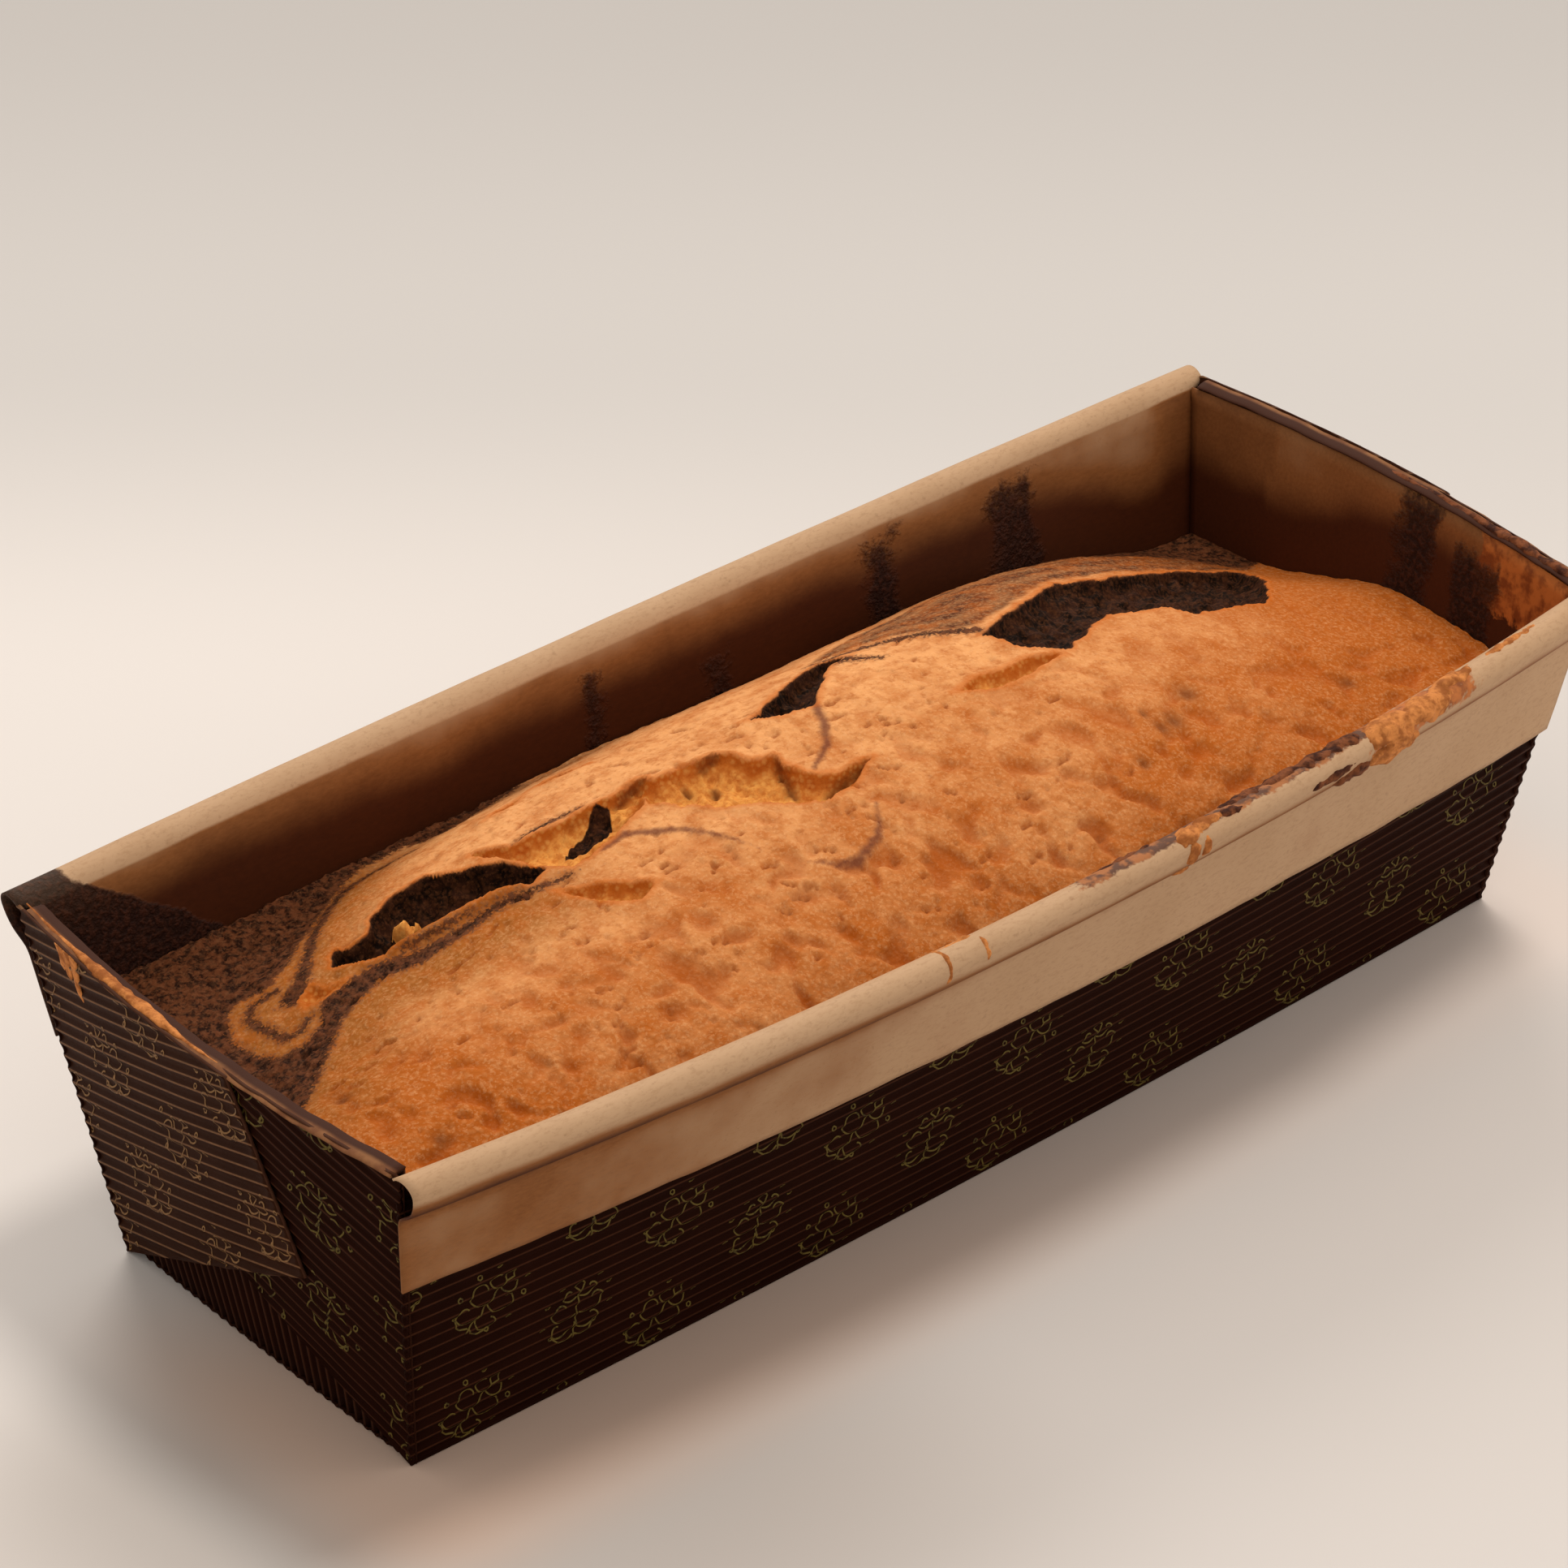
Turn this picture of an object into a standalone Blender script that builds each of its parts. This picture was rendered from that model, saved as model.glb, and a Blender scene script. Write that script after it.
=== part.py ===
"""Marbled chocolate-and-vanilla loaf cake in its folded corrugated paper baking case.

Metres, +Z up. The origin is on the floor at the middle of the case's outer box. +X runs along
the loaf. The long wall at -Y is bowed out more than the one at +Y, and the cake leans to it.

Two pieces: "cake", one solid with the crust's dome and its cracks, and "paper_case", the folded
sheet with its turned-over cuffs, their rolled rims and the wrapped flaps of the two ends.
"""
import math

import bmesh
import bpy
from mathutils import Vector, noise

MM = 0.001

# ---- driving dimensions, millimetres ---------------------------------------------------------
# the case's outer box, without its bows
BASE_LENGTH = 198.0        # without the flaps wrapped over the ends
BASE_WIDTH = 61.0
WALL_HEIGHT = 55.0
END_FLARE = 7.4            # how far an end wall leans out over its height
SIDE_FLARE = 9.3           # how far a long wall leans out over its height
SHEET = 1.4                # thickness of the single-faced corrugated paper

# how far the middle of each wall bulges past its corners, at the floor and at the top
NEAR_BOW = (1.6, 7.5)
FAR_BOW = (0.6, 1.2)
END_BOW = (0.5, 3.0)

# the liner turned over outside the long walls: a rolled rim and a flat band below it
ROLL_RADIUS = 2.5
ROLL_OUTSET = 1.5          # roll's centre from the wall's outer face
ROLL_HEIGHT = 53.2         # roll's centre above the floor
BAND_PROUD = 0.7           # band's face from the wall's outer face
BAND_TOP = 52.4
BAND_LOW = (34.3, 30.2)    # the band's lower edge at the -X end and at the +X end

# the end walls' wrapped flaps: (y, z) corners, from the floor corner round to the rim
FOLD_APEX = (3.5, 15.5)    # where the two folds over the bottom triangle cross
INNER_TOP_Y = -3.0         # the inner flap's hidden edge at the rim
OUTER_TIP = (-13.2, 24.8)  # the outer flap's free corner
OUTER_TOP_Y = -6.0         # the outer flap's cut edge at the rim
FLAP_PROUD = (0.6, 1.2)    # face of the inner flap and of the outer flap
FLAP_BED = 0.6             # how deep each added layer is sunk into the wall it lies on

# the cake
CAKE_GAP = 0.45            # clearance to the case, sides and floor
CREST = (60.0, 56.0)       # height of the crest, over most of the loaf and at its +X end
CREST_Y = (0.2, 17.0)      # where the crest runs, likewise
FAR_CRUST = (40.0, 32.0)   # height of the low crust along the far wall, likewise
NEAR_CRUST = (47.5, 38.5)  # height of the crust along the near wall, likewise
FAR_REACH = (38.4, 34.0)   # crest to the foot of the dome on the far side, likewise
NEAR_WALL_Y = -40.9        # foot of the dome on the near side
FOOT_X = (-96.0, 99.5)     # feet of the dome at the two ends, on the far side
NEAR_FOOT_X = 105.0        # and on the near side, where it fills the corners
CHANGE_X = (10.0, 95.0)    # the stretch over which the first values turn into the second
FAR_CORNER = (2.8, 3.1)    # how square the dome's foot is on the far side
NEAR_CORNER = 4.0
FOOT_SOFTNESS = 0.004      # rounds the crease at the dome's foot
LEAN = (12.0, 34.0)        # the near side's values take over from 12 past the crest, over 34

WRINKLE = 0.35             # low waves of the crust
WRINKLE_LENGTH = 11.0
LIP = 0.7                  # raised edge beside a tear
LIP_WIDTH = 2.0

# tears in the crust: depth, then (x, y, half width) along each one
TEARS = {
    "main": (5.0, [(-79, 14.5, 0.4), (-72, 12.8, 2.6), (-66, 13, 5.0), (-60, 12, 6.2),
                   (-54, 8, 4.2), (-50, 3.5, 0.8)]),
    "open_crumb": (3.4, [(-56, 13, 1.5), (-48, 7.5, 4.8), (-40, 6.5, 4.5), (-32, 5.5, 3.2),
                         (-24, 0.5, 6.0), (-17, -4.5, 6.0), (-12, -9.5, 2.4), (-5, -9.8, 0.4)]),
    "second": (3.0, [(-12, 9.8, 0.5), (-5, 8.8, 2.4), (1, 11.8, 3.4), (8, 16.2, 0.6)]),
    "far_chocolate": (3.2, [(29, 3.8, 1.0), (38, 4.5, 5.5), (50, 9.8, 6.2), (62, 8.8, 6.8),
                            (76, 10.5, 8.0), (92, 18, 2.0)]),
    "lens": (1.5, [(-53, -1.8, 0.6), (-48, -6.8, 2.6), (-42, -11.8, 0.6)]),
    "far_slit_a": (1.6, [(-44, 24, 0.5), (-40, 25, 1.4), (-36, 25.5, 0.5)]),
    "far_slit_b": (1.6, [(-34.5, 26.3, 0.5), (-31, 25, 1.4), (-28, 23.2, 0.5)]),
    "streak": (1.1, [(17, -3.8, 0.5), (24, -4.8, 1.6), (32, -4.8, 0.5)]),
}

# ---- how finely each piece is faceted --------------------------------------------------------
CAKE_CELLS = (80, 30, 2)
CASE_CELLS = (16, 6, 3)
BAND_CELLS = (16, 1, 1)
FLAP_CELLS = (1, 4, 4)
ROLL_RINGS = 24
ROLL_SIDES = 3             # bevel resolution: ten sides

# ---- colours (linear) ------------------------------------------------------------------------
CRUST_COLOUR = (0.56, 0.27, 0.10, 1.0)
PAPER_COLOUR = (0.045, 0.022, 0.016, 1.0)

CENTRE_SHIFT = (NEAR_BOW[1] - FAR_BOW[1]) / 2


# ---- small helpers ---------------------------------------------------------------------------
def mix(a, b, t):
    return a + (b - a) * t


def smooth(t):
    """0 below 0, 1 above 1, and an S-curve between."""
    t = min(max(t, 0.0), 1.0)
    return t * t * (3 - 2 * t)


# ---- the case's walls ------------------------------------------------------------------------
def side_wall_y(side, u, z):
    """Outer face of a long wall (side -1 near, +1 far) at length u in -1..1 and height z."""
    low, high = NEAR_BOW if side < 0 else FAR_BOW
    up = z / WALL_HEIGHT
    reach = BASE_WIDTH / 2 + SIDE_FLARE * up + mix(low, high, up) * (1 - u * u)
    return side * reach + CENTRE_SHIFT


def end_wall_x(end, v, z):
    """Outer face of an end wall (end -1 or +1) at width v in -1..1 and height z."""
    up = z / WALL_HEIGHT
    return end * (BASE_LENGTH / 2 + END_FLARE * up + mix(*END_BOW, up) * (1 - v * v))


def inside_case(u, v, z, inset):
    """The point at (u, v) of the case's plan at height z, that plan pulled in by inset."""
    half_length = end_wall_x(1, v, z) - inset
    near = side_wall_y(-1, u, z) + inset
    far = side_wall_y(1, u, z) - inset
    return Vector((u * half_length, mix(near, far, (v + 1) / 2), z))


# ---- the cake's upper surface ----------------------------------------------------------------
def dome_height(x, y):
    """Height of the crust before its wrinkles and tears."""
    along = smooth((x - CHANGE_X[0]) / (CHANGE_X[1] - CHANGE_X[0]))
    crest_y = mix(*CREST_Y, along)
    near_share = smooth((crest_y + LEAN[0] - y) / LEAN[1])
    foot = mix(mix(*FAR_CRUST, along), mix(*NEAR_CRUST, along), near_share)
    reach_x = mix(abs(FOOT_X[0] if x < 0 else FOOT_X[1]), NEAR_FOOT_X, near_share)
    reach_y = mix(*FAR_REACH, along) if y > crest_y else crest_y - NEAR_WALL_Y
    power = mix(mix(*FAR_CORNER, along), NEAR_CORNER, near_share)
    radius = (abs(x / reach_x) ** power + abs((y - crest_y) / reach_y) ** power) ** (1 / power)
    rise = 1 - radius * radius
    rise = (rise + math.sqrt(rise * rise + FOOT_SOFTNESS)) / 2
    return foot + (mix(*CREST, along) - foot) * rise


def tear_place(x, y, spine):
    """Distance from (x, y) to a tear's spine, and the tear's half width there."""
    best = (1e9, 1.0)
    for (ax, ay, aw), (bx, by, bw) in zip(spine, spine[1:]):
        dx = bx - ax
        dy = by - ay
        t = ((x - ax) * dx + (y - ay) * dy) / (dx * dx + dy * dy)
        t = min(max(t, 0.0), 1.0)
        distance = math.hypot(x - ax - t * dx, y - ay - t * dy)
        half_width = mix(aw, bw, t)
        if distance - half_width < best[0] - best[1]:
            best = (distance, half_width)
    return best


def tear_relief(x, y):
    """How far the tears lower the crust at (x, y); the lips beside them raise it."""
    relief = 0.0
    for depth, spine in TEARS.values():
        distance, half_width = tear_place(x, y, spine)
        if distance < half_width:
            relief = min(relief, -depth * (1 - (distance / half_width) ** 3))
        elif relief == 0.0:
            away = (distance - half_width) / LIP_WIDTH
            relief = max(relief, LIP * math.exp(-away * away)) if away < 2 else relief
    return relief


def crust_height(x, y):
    wave = noise.noise(Vector((x / WRINKLE_LENGTH, y / WRINKLE_LENGTH, 0.0)))
    return dome_height(x, y) + WRINKLE * wave + tear_relief(x, y)


# ---- Blender helpers -------------------------------------------------------------------------
def clear_scene():
    for old in list(bpy.data.objects):
        bpy.data.objects.remove(old, do_unlink=True)


def new_collection(name):
    collection = bpy.data.collections.new(name)
    bpy.context.scene.collection.children.link(collection)
    return collection


def paper_or_crust(name, colour, roughness):
    material = bpy.data.materials.new(name)
    material.use_nodes = True
    shader = material.node_tree.nodes["Principled BSDF"]
    shader.inputs["Base Color"].default_value = colour
    shader.inputs["Roughness"].default_value = roughness
    shader.inputs["Metallic"].default_value = 0.0
    return material


def evaluated_mesh(shaped):
    """The object's mesh with its modifiers or its curve's bevel carried out."""
    bpy.context.view_layer.update()
    depsgraph = bpy.context.evaluated_depsgraph_get()
    return bpy.data.meshes.new_from_object(shaped.evaluated_get(depsgraph))


def divided_block(cells):
    """A cube from -1 to 1 whose edges along each axis are cut into cells[axis] pieces."""
    bm = bmesh.new()
    bmesh.ops.create_cube(bm, size=2)
    for axis, count in enumerate(cells):
        if count == 1:
            continue
        along = [e for e in bm.edges if abs(e.verts[0].co[axis] - e.verts[1].co[axis]) > 1e-6]
        bmesh.ops.subdivide_edges(bm, edges=along, cuts=count - 1, use_grid_fill=True)
    return bm


def join_flat_floor(bm):
    """Joins the faces of the block's flat underside into one."""
    floor = [f for f in bm.faces if all(v.co.z < -1 + 1e-6 for v in f.verts)]
    bmesh.ops.dissolve_faces(bm, faces=floor, use_verts=False)


def block_object(name, bm, place, collection):
    """Makes an object of the block, each vertex moved to place(vertex) in millimetres."""
    for vertex in bm.verts:
        vertex.co = place(vertex.co.copy()) * MM
    bmesh.ops.recalc_face_normals(bm, faces=bm.faces[:])
    mesh = bpy.data.meshes.new(name)
    bm.to_mesh(mesh)
    bm.free()
    made = bpy.data.objects.new(name, mesh)
    collection.objects.link(made)
    return made


# ---- the cake --------------------------------------------------------------------------------
def build_cake(collection):
    inset = SHEET + CAKE_GAP
    floor = SHEET + CAKE_GAP

    def place(p):
        u, v, w = p
        top = inside_case(u, v, 0.9 * WALL_HEIGHT, inset)
        for _ in range(3):
            height = crust_height(top.x, top.y)
            top = inside_case(u, v, height, inset)
        z = mix(floor, height, (w + 1) / 2)
        return inside_case(u, v, z, inset)

    bm = divided_block(CAKE_CELLS)
    join_flat_floor(bm)
    cake = block_object("cake", bm, place, collection)
    cake.data.materials.append(paper_or_crust("baked_crust", CRUST_COLOUR, 0.8))
    return cake


# ---- the paper case --------------------------------------------------------------------------
def build_tray(collection):
    """The case's floor and four walls: an open tray turned inwards by the paper's thickness."""
    bm = divided_block(CASE_CELLS)
    join_flat_floor(bm)
    lid = [f for f in bm.faces if all(v.co.z > 1 - 1e-6 for v in f.verts)]
    bmesh.ops.delete(bm, geom=lid, context="FACES")

    def place(p):
        return inside_case(p.x, p.y, mix(0, WALL_HEIGHT, (p.z + 1) / 2), 0)

    tray = block_object("tray", bm, place, collection)
    shell = tray.modifiers.new("paper", "SOLIDIFY")
    shell.thickness = SHEET * MM
    shell.offset = -1
    shell.use_even_offset = True
    return tray


def build_band(side, collection):
    """The flat band of liner turned down outside a long wall."""
    def place(p):
        low = mix(*BAND_LOW, (p.x + 1) / 2)
        z = mix(low, BAND_TOP, (p.z + 1) / 2)
        outset = BAND_PROUD if p.y * side > 0 else -FLAP_BED
        y = side_wall_y(side, p.x, z) + side * outset
        return Vector((p.x * (end_wall_x(1, 1, z) + FLAP_PROUD[1]), y, z))

    return block_object("band", divided_block(BAND_CELLS), place, collection)


def build_roll(side, collection):
    """The half-round rim: a tube along the top of a long wall."""
    curve = bpy.data.curves.new("roll", "CURVE")
    curve.dimensions = "3D"
    curve.bevel_depth = ROLL_RADIUS * MM
    curve.bevel_resolution = ROLL_SIDES
    curve.use_fill_caps = True
    line = curve.splines.new("POLY")
    line.points.add(ROLL_RINGS)
    for index, point in enumerate(line.points):
        u = mix(-1, 1, index / ROLL_RINGS)
        y = side_wall_y(side, u, ROLL_HEIGHT) + side * ROLL_OUTSET
        x = u * (end_wall_x(1, 1, ROLL_HEIGHT) + FLAP_PROUD[1])
        point.co = (x * MM, y * MM, ROLL_HEIGHT * MM, 1)
    tube = bpy.data.objects.new("roll", curve)
    collection.objects.link(tube)
    mesh = evaluated_mesh(tube)
    bm = bmesh.new()
    bm.from_mesh(mesh)
    bmesh.ops.remove_doubles(bm, verts=bm.verts[:], dist=0.01 * MM)
    bmesh.ops.recalc_face_normals(bm, faces=bm.faces[:])
    bm.to_mesh(mesh)
    bm.free()
    roll = bpy.data.objects.new("roll", mesh)
    roll.matrix_world = tube.matrix_world
    collection.objects.link(roll)
    bpy.data.objects.remove(tube, do_unlink=True)
    return roll


def build_flap(end, corners, proud, collection):
    """A flap lying on an end wall; corners are (y, z) at its low, free, top and rim corners."""
    (ay, az), (by, bz), (cy, cz), (dy, dz) = corners

    def place(p):
        s = (p.y + 1) / 2
        t = (p.z + 1) / 2
        y = mix(mix(ay, by, s), mix(dy, cy, s), t)
        z = mix(mix(az, bz, s), mix(dz, cz, s), t)
        half_width = side_wall_y(1, 1, z) - CENTRE_SHIFT
        v = (y - CENTRE_SHIFT) / half_width
        outset = proud if p.x * end > 0 else -FLAP_BED
        return Vector((end_wall_x(end, v, z) + end * outset, y, z))

    return block_object("flap", divided_block(FLAP_CELLS), place, collection)


def build_end_flaps(end, collection):
    near_foot = (side_wall_y(-1, 1, 0) + 0.3, 0.3)
    near_rim = (side_wall_y(-1, 1, WALL_HEIGHT) + 0.3, WALL_HEIGHT)
    far_foot = (side_wall_y(1, 1, 0) - 0.3, 0.3)
    far_rim = (side_wall_y(1, 1, WALL_HEIGHT) - 0.3, WALL_HEIGHT)
    inner = (near_foot, FOLD_APEX, (INNER_TOP_Y, WALL_HEIGHT), near_rim)
    outer = (far_foot, OUTER_TIP, (OUTER_TOP_Y, WALL_HEIGHT), far_rim)
    build_flap(end, inner, FLAP_PROUD[0], collection)
    build_flap(end, outer, FLAP_PROUD[1], collection)


def build_case(collection):
    """One folded sheet: the tray joined with its bands, rolled rims and end flaps."""
    layers = new_collection("case_layers")
    tray = build_tray(collection)
    for side in (-1, 1):
        build_band(side, layers)
        build_roll(side, layers)
    for end in (-1, 1):
        build_end_flaps(end, layers)

    joint = tray.modifiers.new("one_sheet", "BOOLEAN")
    joint.operation = "UNION"
    joint.operand_type = "COLLECTION"
    joint.collection = layers
    joint.solver = "EXACT"
    joined = evaluated_mesh(tray)
    tray.modifiers.clear()
    tray.data = joined
    tray.name = "paper_case"
    joined.name = "paper_case"
    for layer in list(layers.objects):
        bpy.data.objects.remove(layer, do_unlink=True)
    bpy.data.collections.remove(layers)
    tray.data.materials.clear()
    tray.data.materials.append(paper_or_crust("printed_paper", PAPER_COLOUR, 0.6))
    return tray


def main():
    clear_scene()
    loaf = new_collection("chocolate_loaf_cake")
    cake = build_cake(loaf)
    case = build_case(loaf)
    for piece in (cake, case):
        piece.data.shade_smooth()
        piece.data.set_sharp_from_angle(angle=math.radians(35))


main()
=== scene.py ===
import math

import bpy
import numpy as np
from mathutils import Matrix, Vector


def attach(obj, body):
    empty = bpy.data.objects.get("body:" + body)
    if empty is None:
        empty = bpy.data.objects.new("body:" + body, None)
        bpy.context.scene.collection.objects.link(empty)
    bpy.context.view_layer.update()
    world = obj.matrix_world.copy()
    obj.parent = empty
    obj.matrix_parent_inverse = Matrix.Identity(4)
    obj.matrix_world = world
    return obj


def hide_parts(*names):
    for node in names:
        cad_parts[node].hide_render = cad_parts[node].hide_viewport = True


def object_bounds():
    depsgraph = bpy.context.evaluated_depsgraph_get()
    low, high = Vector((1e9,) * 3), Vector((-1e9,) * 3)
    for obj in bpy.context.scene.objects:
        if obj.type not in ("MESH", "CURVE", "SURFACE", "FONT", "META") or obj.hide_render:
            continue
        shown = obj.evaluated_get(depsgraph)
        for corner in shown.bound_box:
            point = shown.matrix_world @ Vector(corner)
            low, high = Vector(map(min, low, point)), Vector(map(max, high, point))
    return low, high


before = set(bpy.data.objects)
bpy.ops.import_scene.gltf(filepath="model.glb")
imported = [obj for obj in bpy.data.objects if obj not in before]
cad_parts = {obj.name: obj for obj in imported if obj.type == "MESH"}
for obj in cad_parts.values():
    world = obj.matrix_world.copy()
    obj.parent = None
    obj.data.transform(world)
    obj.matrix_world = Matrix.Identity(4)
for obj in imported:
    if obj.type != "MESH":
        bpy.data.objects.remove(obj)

CAD_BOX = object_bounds()
MM = 0.001

# ---- the case and the dome, as the CAD has them ----
BASE_LENGTH = 198.0
BASE_WIDTH = 61.0
WALL_HEIGHT = 55.0
END_FLARE = 7.4
SIDE_FLARE = 9.3
SHEET = 1.4
NEAR_BOW = (1.6, 7.5)
FAR_BOW = (0.6, 1.2)
END_BOW = (0.5, 3.0)
CENTRE_SHIFT = (NEAR_BOW[1] - FAR_BOW[1]) / 2

ROLL_RADIUS = 2.5
ROLL_OUTSET = 1.45
ROLL_HEIGHT = 53.2
ROLL_DROP = 4.3               # the roll's lower half hangs this far, like a drop
BAND_TOP = 46.8
BAND_PROUD = 0.7
BAND_LOW = (34.3, 30.2)
FOLD_APEX = (3.5, 15.5)
INNER_TOP_Y = -3.0
OUTER_TIP = (-13.2, 24.8)
OUTER_TOP_Y = -6.0
FLAP_PROUD = (0.6, 1.2)

LINER_SUNK = 0.6              # the lining ends this far under the end walls' top
CAKE_GAP = 0.45
CREST = (60.0, 56.0)
CREST_Y = (0.2, 17.0)
FAR_CRUST = (40.0, 32.0)
NEAR_CRUST = (47.5, 38.5)
FAR_REACH = (38.4, 34.0)
NEAR_WALL_Y = -40.9
FOOT_X = (-96.0, 99.5)
NEAR_FOOT_X = 105.0
CHANGE_X = (10.0, 95.0)
FAR_CORNER = (2.8, 3.1)
NEAR_CORNER = 4.0
FOOT_SOFTNESS = 0.004
LEAN = (12.0, 34.0)

# ---- tears in the crust: depth, how far in from the edge the crumb turns chocolate, outline ----
NO_CHOCOLATE = 99.0
OUTSIDE = -9.0                 # well outside every outline
TEARS = {
    "main": (3.8, 0.1, [(-78, 15.2), (-75, 18), (-74, 16), (-71, 16), (-69, 18), (-64, 20), (-59, 19),
        (-56, 15.5), (-53, 12), (-51, 7), (-50, 4), (-53, 3), (-57, 4.4), (-63, 7.4), (-68, 9.3),
        (-72, 9.8), (-74, 10.6), (-77, 14)]),
    "open_crumb": (2.4, NO_CHOCOLATE, [(-53, 17), (-48, 12.4), (-42, 11.6), (-37, 10.6), (-28, 9.4),
        (-33, 4), (-40, 2), (-48, 1), (-51, 6)]),
    "vanilla": (2.8, NO_CHOCOLATE, [(-31, 8.4), (-24, 7.4), (-19, 6.4), (-17, 1.4), (-14, -0.6),
        (-14, -6), (-10, -8.2), (-4, -8.6), (-10, -11.4), (-15, -12.6), (-23, -8), (-29, -2),
        (-33, 4)]),
    "second": (2.6, 0.1, [(-12, 10), (-10, 9.4), (-4, 12), (0, 14.4), (9, 17.4), (13, 14.5), (8, 14),
        (2, 8.4), (-2, 5.4), (-7, 6.4)]),
    "far_chocolate": (2.2, 0.05, [(29, 6), (41, 11), (54, 17), (62, 16.4), (82, 19.4), (95, 20),
        (90, 10), (79, -0.6), (64, -1.6), (61, 2.4), (51, 3.4), (37, -3.6), (32, -1)]),
    "lens": (1.7, NO_CHOCOLATE, [(-53, -1), (-50, -3.4), (-47, -6.4), (-43, -10.6), (-47, -12),
        (-51, -8)]),
    "far_slit_a": (1.8, 0.5, [(-45, 24), (-41, 26), (-36, 26), (-40, 23.8)]),
    "far_slit_b": (1.8, 0.5, [(-35, 26.5), (-31, 26.2), (-27, 23), (-32, 23.8)]),
    "streak": (1.7, NO_CHOCOLATE, [(14.5, -4.2), (19, -2.8), (24, -3.2), (30, -2.6), (35.5, -4.4),
        (30, -5.6), (24, -7.0), (18, -6.0)]),
    "split": (0.8, NO_CHOCOLATE, [(-84, 13.6), (-81.4, 14.6), (-81, 12), (-78.4, 10.6), (-82, 10.4),
        (-84.6, 11.4)]),
}

# ---- chocolate in the crust ----
# the low dark crust of the far corner, outside the vanilla tongue and down to the near band
DARK_CORNER = [(-24, 60), (-26, 38.8), (-36, 37), (-43, 34), (-48, 37.4), (-56, 37), (-61, 35),
    (-68, 30.4), (-74, 26.4), (-79, 22.6), (-84, 20.6), (-87, 22.4), (-90, 21.4), (-93, 16.4),
    (-93, 11.4), (-92, 7.4), (-89, 6), (-86, 7), (-84, 9.2), (-81, 10), (-78, 10.2), (-76, 10),
    (-79, 6.4), (-84, 4.4), (-88, 1.4), (-93, -2.6), (-98, -6.6), (-130, -12), (-130, 60)]
# (x, y, half width) along the dark lines
DARK_BAND = [(-82, 7.8, 2.6), (-76, 8.2, 1.8), (-71, 5.2, 1.7), (-66, 3.8, 1.2), (-60, 3.4, 0.9),
    (-54, 1.6, 0.7), (-49, 0.2, 0.4)]
DARK_LINES = [
    [(-50, 32.4, 0.4), (-56, 34.4, 0.6), (-61, 34, 0.8), (-67, 30.2, 0.9), (-72, 26.2, 0.9),
     (-77, 21.2, 0.9), (-82, 16.2, 1.3), (-84, 15.2, 1.8)],
    [(-84, 18.8, 0.7), (-87, 20, 0.7), (-89.6, 17.6, 0.8), (-89.6, 13, 0.8), (-89.3, 9.6, 0.8),
     (-87.6, 8.6, 0.7), (-85.6, 9.6, 0.5)],
    [(-71, 8.2, 0.3), (-66, 6.4, 0.5), (-62, 5.2, 0.3)],
    [(6, 15, 0.6), (11, 14, 0.9), (14, 10, 0.6)],
    [(-49, 12.6, 0.4), (-45, 12.8, 0.8), (-41, 12.2, 0.6), (-38, 11.4, 0.2)],
    [(8, 18, 0.5), (19, 14.4, 0.7), (30, 7.6, 1.0)],
]
# fainter chocolate lines under the crust
FAINT_LINES = [
    [(-43, 1.0, 0.4), (-39, 1.2, 0.5), (-36, -1.8, 0.6), (-33, -4.8, 0.4), (-31, -9.8, 0.2),
     (-29, -14.8, -0.2)],
    [(-2, 5.4, 0.5), (-4, 1.2, 0.6), (-7, -2.8, 0.5), (-12, -5.8, 0.2)],
    [(-10, -15.8, 0.0), (-12, -18.8, 0.3), (-14, -20.8, 0.5), (-19, -22.6, 0.6), (-22, -21.8, 0.4),
     (-25, -19.8, -0.1)],
    [(-27, -1.0, 0.0), (-24, -4.0, 0.4), (-21, -7.0, 0.0)],
]
# chocolate crumb that shows inside the exposed vanilla crumb
DARK_HOLE = [(-36.4, 10.4), (-35.0, 9.4), (-37.6, 5.6), (-41.0, 3.8), (-44.6, 4.6), (-45.6, 6.2),
    (-42.8, 8.2), (-40.0, 8.6), (-38.2, 9.8)]
# deep folds in the exposed crumb, dark for want of light: (x, y, half width)
POCKETS = [
    [(-4.6, -8.8, 0.0), (-8.8, -9.8, 0.3), (-12.6, -10.2, 0.4)],
    [(-13.4, 1.2, -0.2), (-15.2, -3.0, 0.1), (-16.4, -7.0, 0.2)],
    [(-22.0, 6.2, 0.0), (-19.6, 6.2, 0.4), (-17.2, 6.6, 0.1)],
    [(-22.2, 3.0, -0.1), (-22.8, 1.6, 0.3), (-23.2, 1.0, 0.0)],
    [(-25.4, 5.4, -0.1), (-25.5, 4.4, 0.2)],
    [(-34.2, 8.8, 0.0), (-31.4, 9.4, 0.2), (-28.9, 9.2, -0.2)],
]
DARK_SPECKS = [(46, -18, 2.0), (39.6, -22, 1.9), (36.8, -22.4, 1.6), (74, -22, 1.5), (29, -27, 1.2),
    (-96, -11, 1.2), (-93, -27, 1.2), (-21, 3.6, 1.2), (-23, 5.5, 0.8), (36, -19.6, 0.9)]
# brown marbled crust behind the far patch
BROWN_RIDGE = [(8, 20), (19, 15.4), (30, 8), (42, 12.4), (54, 18.4), (82, 20.6), (101, 22), (101, 27),
    (92, 30), (80, 33), (60, 32), (45, 32), (30, 27), (16, 23)]
FAR_END_DARK = [(22, 60), (25, 38.8), (36, 36.8), (46, 33.8), (60, 32.6), (80, 33), (92, 29.4),
    (99, 24), (130, 20), (130, 60)]
# thin raised flakes of torn crust (x, y, half width)
FLAKE = [(-72, 9.2, 0.4), (-67, 7.6, 1.0), (-63, 6.4, 1.0), (-59, 5.4, 0.8), (-55, 3.4, 0.3)]
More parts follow.
